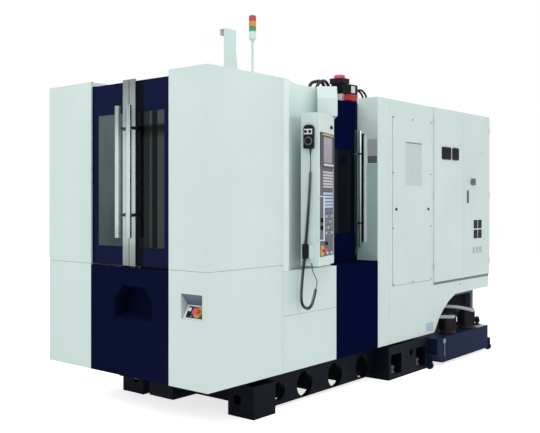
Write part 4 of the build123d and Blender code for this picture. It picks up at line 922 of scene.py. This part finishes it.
def feed_motor(bm):
    """Flange, bracket, finned body and the wider housing under the brake cap."""
    place = UPWARDS @ Matrix.Translation((*MOTOR, 0))
    add_prism(bm, rounded((-90, -90), (90, 90), 6), 2500, 2518, place)
    add_turned(bm, [(0, 2518), (60, 2518), (60, 2625), (0, 2625)], place, 40)
    add_prism(bm, rounded((-59, -59), (59, 59), 10), 2625, 2700, place)
    for index in range(7):
        z = 2632 + index * 9.5
        add_prism(bm, rounded((-63, -63), (63, 63), 8), z, z + 4, place)
    add_prism(bm, rounded((-72.5, -72.5), (72.5, 72.5), 12), 2700, 2745, place)


column_motors = [
    finish_piece("feed_motor", mesh_from("feed_motor", feed_motor), black_plastic, "cross_slide",
                 0.0008),
    turned("motor_cap", UPWARDS, [MOTOR],
           [(0, 2751), (54, 2751), (54, 2776), (50, 2784), (38, 2788.5), (0, 2790)],
           cap_red, "cross_slide", 48),
    plates("motor_flange", UPWARDS, [((-74, 2586), (74, 2734))], dark_red, "cross_slide",
           2743, 2752, radius=12, bevel=1.0),
    plates("small_motor", UPWARDS, [((170, 2480), (252, 2600))], black_plastic, "cross_slide",
           2500, 2656, radius=8, bevel=1.2),
    plates("small_motor_base", UPWARDS, [((168.5, 2478.5), (253.5, 2601.5))], base_red, "cross_slide",
           2501, 2564, radius=9, bevel=1.0),
]
for piece in column_motors:
    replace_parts(piece, "column_motor")
plates("small_motor_tag", side_face(252), [((2486, 2578), (2550, 2642))], white_plastic, "cross_slide",
       0, 1.5, radius=2)
plates("motor_block", UPWARDS, [((50, 2545), (110, 2590))], white_plastic, "cross_slide",
       2518, 2587, radius=4, bevel=1.0)


# Pumps and pipes at the tank

TANK_TOP = 270.0


def pump(index, x, depth, radius, tall):
    """A finned motor on its flange, with a rusty collar between them."""
    foot, top = TANK_TOP, TANK_TOP + tall
    profile = [(0, foot), (radius + 12, foot), (radius + 12, foot + 9), (radius + 10, foot + 10.5),
               (radius - 8, foot + 10.5), (radius - 8, foot + 24), (radius, foot + 28), (radius, top - 30),
               (radius + 2, top - 29), (radius + 2, top - 12), (radius - 5, top - 3), (radius - 10, top),
               (0, top)]

    def build(bm):
        place = UPWARDS @ Matrix.Translation((x, depth, 0))
        add_turned(bm, profile, place, 48)
        for fin in range(24):
            turn = place @ Matrix.Rotation(math.tau * fin / 24, 4, "Z")
            add_prism(bm, rounded((radius - 3, -1.5), (radius + 5.5, 1.5), 0), foot + 30, top - 31, turn)

    name = f"pump_{index}"
    collar = turned(f"{name}_collar", UPWARDS, [(x, depth)],
                    ring(radius - 3, radius - 8.2, foot + 12, foot + 23), rust_red, "root", 48)
    return [finish_piece(name, mesh_from(name, build), pump_black, "root"), collar]


def pumps():
    """Three pumps and the two pipes that lead forwards from them."""
    made = pump(1, 790, 3376, 80, 182) + pump(2, 788, 3783, 84, 198) + pump(3, 800, 4020, 22, 87)
    routes = ([(790, 3376, 432), (895, 3376, 432), (790, 3262, 436), (600, 3040, 442), (600, 2959, 442)],
              [(788, 3800, 440), (900, 3800, 440), (810, 3630, 492), (700, 3440, 515), (560, 3240, 520),
               (520, 3080, 520), (520, 2959, 520)])
    for index, route in enumerate(routes):
        name = f"pipe_{index + 1}"
        line = route_points(name, [UPWARDS @ Vector(point) for point in route])
        made.append(finish_piece(name, mesh_from(name, lambda bm: add_tube(bm, line, 0.017, 20)), pipe_grey,
                                 "root"))
    for piece in made:
        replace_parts(piece, "coolant_pumps")


pumps()
plates("stand_back", front_face(4257), [((276, 290), (580, 640))], frame_paint, "root", -3, 0)
plates("tank_lid", UPWARDS, [((821, 3840), (893, 4040))], pipe_grey, "root", TANK_TOP, TANK_TOP + 4,
       bevel=1.0)
plates("tank_bracket", side_face(893), [((3082, 216), (3130, 255)), ((3107, 88), (3115, 216))],
       edge_grey, "root", 0, 4, bevel=0.8)


# Floor, light and background

def seen_directly(tree):
    """1 where the camera, a mirror or a pane looks straight at the surface, 0 where light falls from it."""
    path = tree.nodes.new("ShaderNodeLightPath")
    either = tree.nodes.new("ShaderNodeMath")
    either.operation = "MAXIMUM"
    tree.links.new(path.outputs["Is Camera Ray"], either.inputs[0])
    tree.links.new(path.outputs["Is Glossy Ray"], either.inputs[1])
    third = tree.nodes.new("ShaderNodeMath")
    third.operation = "MAXIMUM"
    tree.links.new(either.outputs[0], third.inputs[0])
    tree.links.new(path.outputs["Is Transmission Ray"], third.inputs[1])
    return third.outputs[0]


def floor(strength):
    """A white floor: seen directly it has some glow of its own, and it keeps the machine's shadow."""
    m = Nodes("floor_white").set(Roughness=0.9, Specular_IOR_Level=0.0)
    m.colour(m.ramp(m.noise(0.6, 2), 0.3, 0.7, (0.925, 0.925, 0.925), (0.93, 0.93, 0.93)))
    glow = m.node("ShaderNodeEmission", Strength=strength)
    both = m.node("ShaderNodeAddShader")
    m.link(m.shader.outputs[0], both.inputs[0])
    m.link(glow.outputs[0], both.inputs[1])
    choice = m.node("ShaderNodeMixShader")
    m.link(seen_directly(m.tree), choice.inputs[0])
    m.link(m.shader.outputs[0], choice.inputs[1])
    m.link(both.outputs[0], choice.inputs[2])
    m.link(choice.outputs[0], m.output.inputs[0])
    mesh = mesh_from("floor", lambda bm: bm.faces.new(
        [bm.verts.new(corner) for corner in ((-14, -14, 0), (14, -14, 0), (14, 16, 0), (-14, 16, 0))]))
    piece = bpy.data.objects.new("floor", mesh)
    scene.collection.objects.link(piece)
    mesh.materials.append(m.material)


def surroundings(ambient, colour):
    """Even light from all round, in front of white."""
    world = bpy.data.worlds.new("world")
    scene.world = world
    world.use_nodes = True
    tree = world.node_tree
    tree.nodes.clear()
    output = tree.nodes.new("ShaderNodeOutputWorld")
    mix = tree.nodes.new("ShaderNodeMixShader")
    light = tree.nodes.new("ShaderNodeBackground")
    light.inputs[0].default_value = (*colour, 1)
    light.inputs[1].default_value = ambient
    white = tree.nodes.new("ShaderNodeBackground")
    white.inputs[0].default_value = (1, 1, 1, 1)
    white.inputs[1].default_value = 1.0
    tree.links.new(seen_directly(tree), mix.inputs[0])
    tree.links.new(light.outputs[0], mix.inputs[1])
    tree.links.new(white.outputs[0], mix.inputs[2])
    tree.links.new(mix.outputs[0], output.inputs[0])


def lamp(name, place, target, size, power):
    """A soft white lamp that faces its target."""
    data = bpy.data.lights.new(name, "AREA")
    data.shape = "RECTANGLE"
    data.size, data.size_y = size
    data.energy = power
    lamp_object = bpy.data.objects.new(name, data)
    lamp_object.location = place
    direction = Vector(target) - Vector(place)
    lamp_object.rotation_euler = direction.to_track_quat("-Z", "Y").to_euler()
    scene.collection.objects.link(lamp_object)


floor(0.75)
surroundings(0.66, (0.97, 0.985, 1.0))
lamp("key", (-1.5, -7.5, 6.0), (0, 0, 1.0), (4.5, 3.0), 175)
lamp("high", (4.2, -3.0, 6.5), (0.7, -0.6, 1.8), (2.5, 2.5), 80)
lamp("fill", (7.5, 4.0, 3.6), (0.7, -0.5, 1.4), (3.5, 3.5), 45)
lamp("side", (8.5, -1.4, 3.2), (0.7, 0.8, 1.6), (3.0, 3.0), 58)
lamp("top", (0.5, 0.5, 8.0), (0, 0.5, 0), (6, 6), 100)
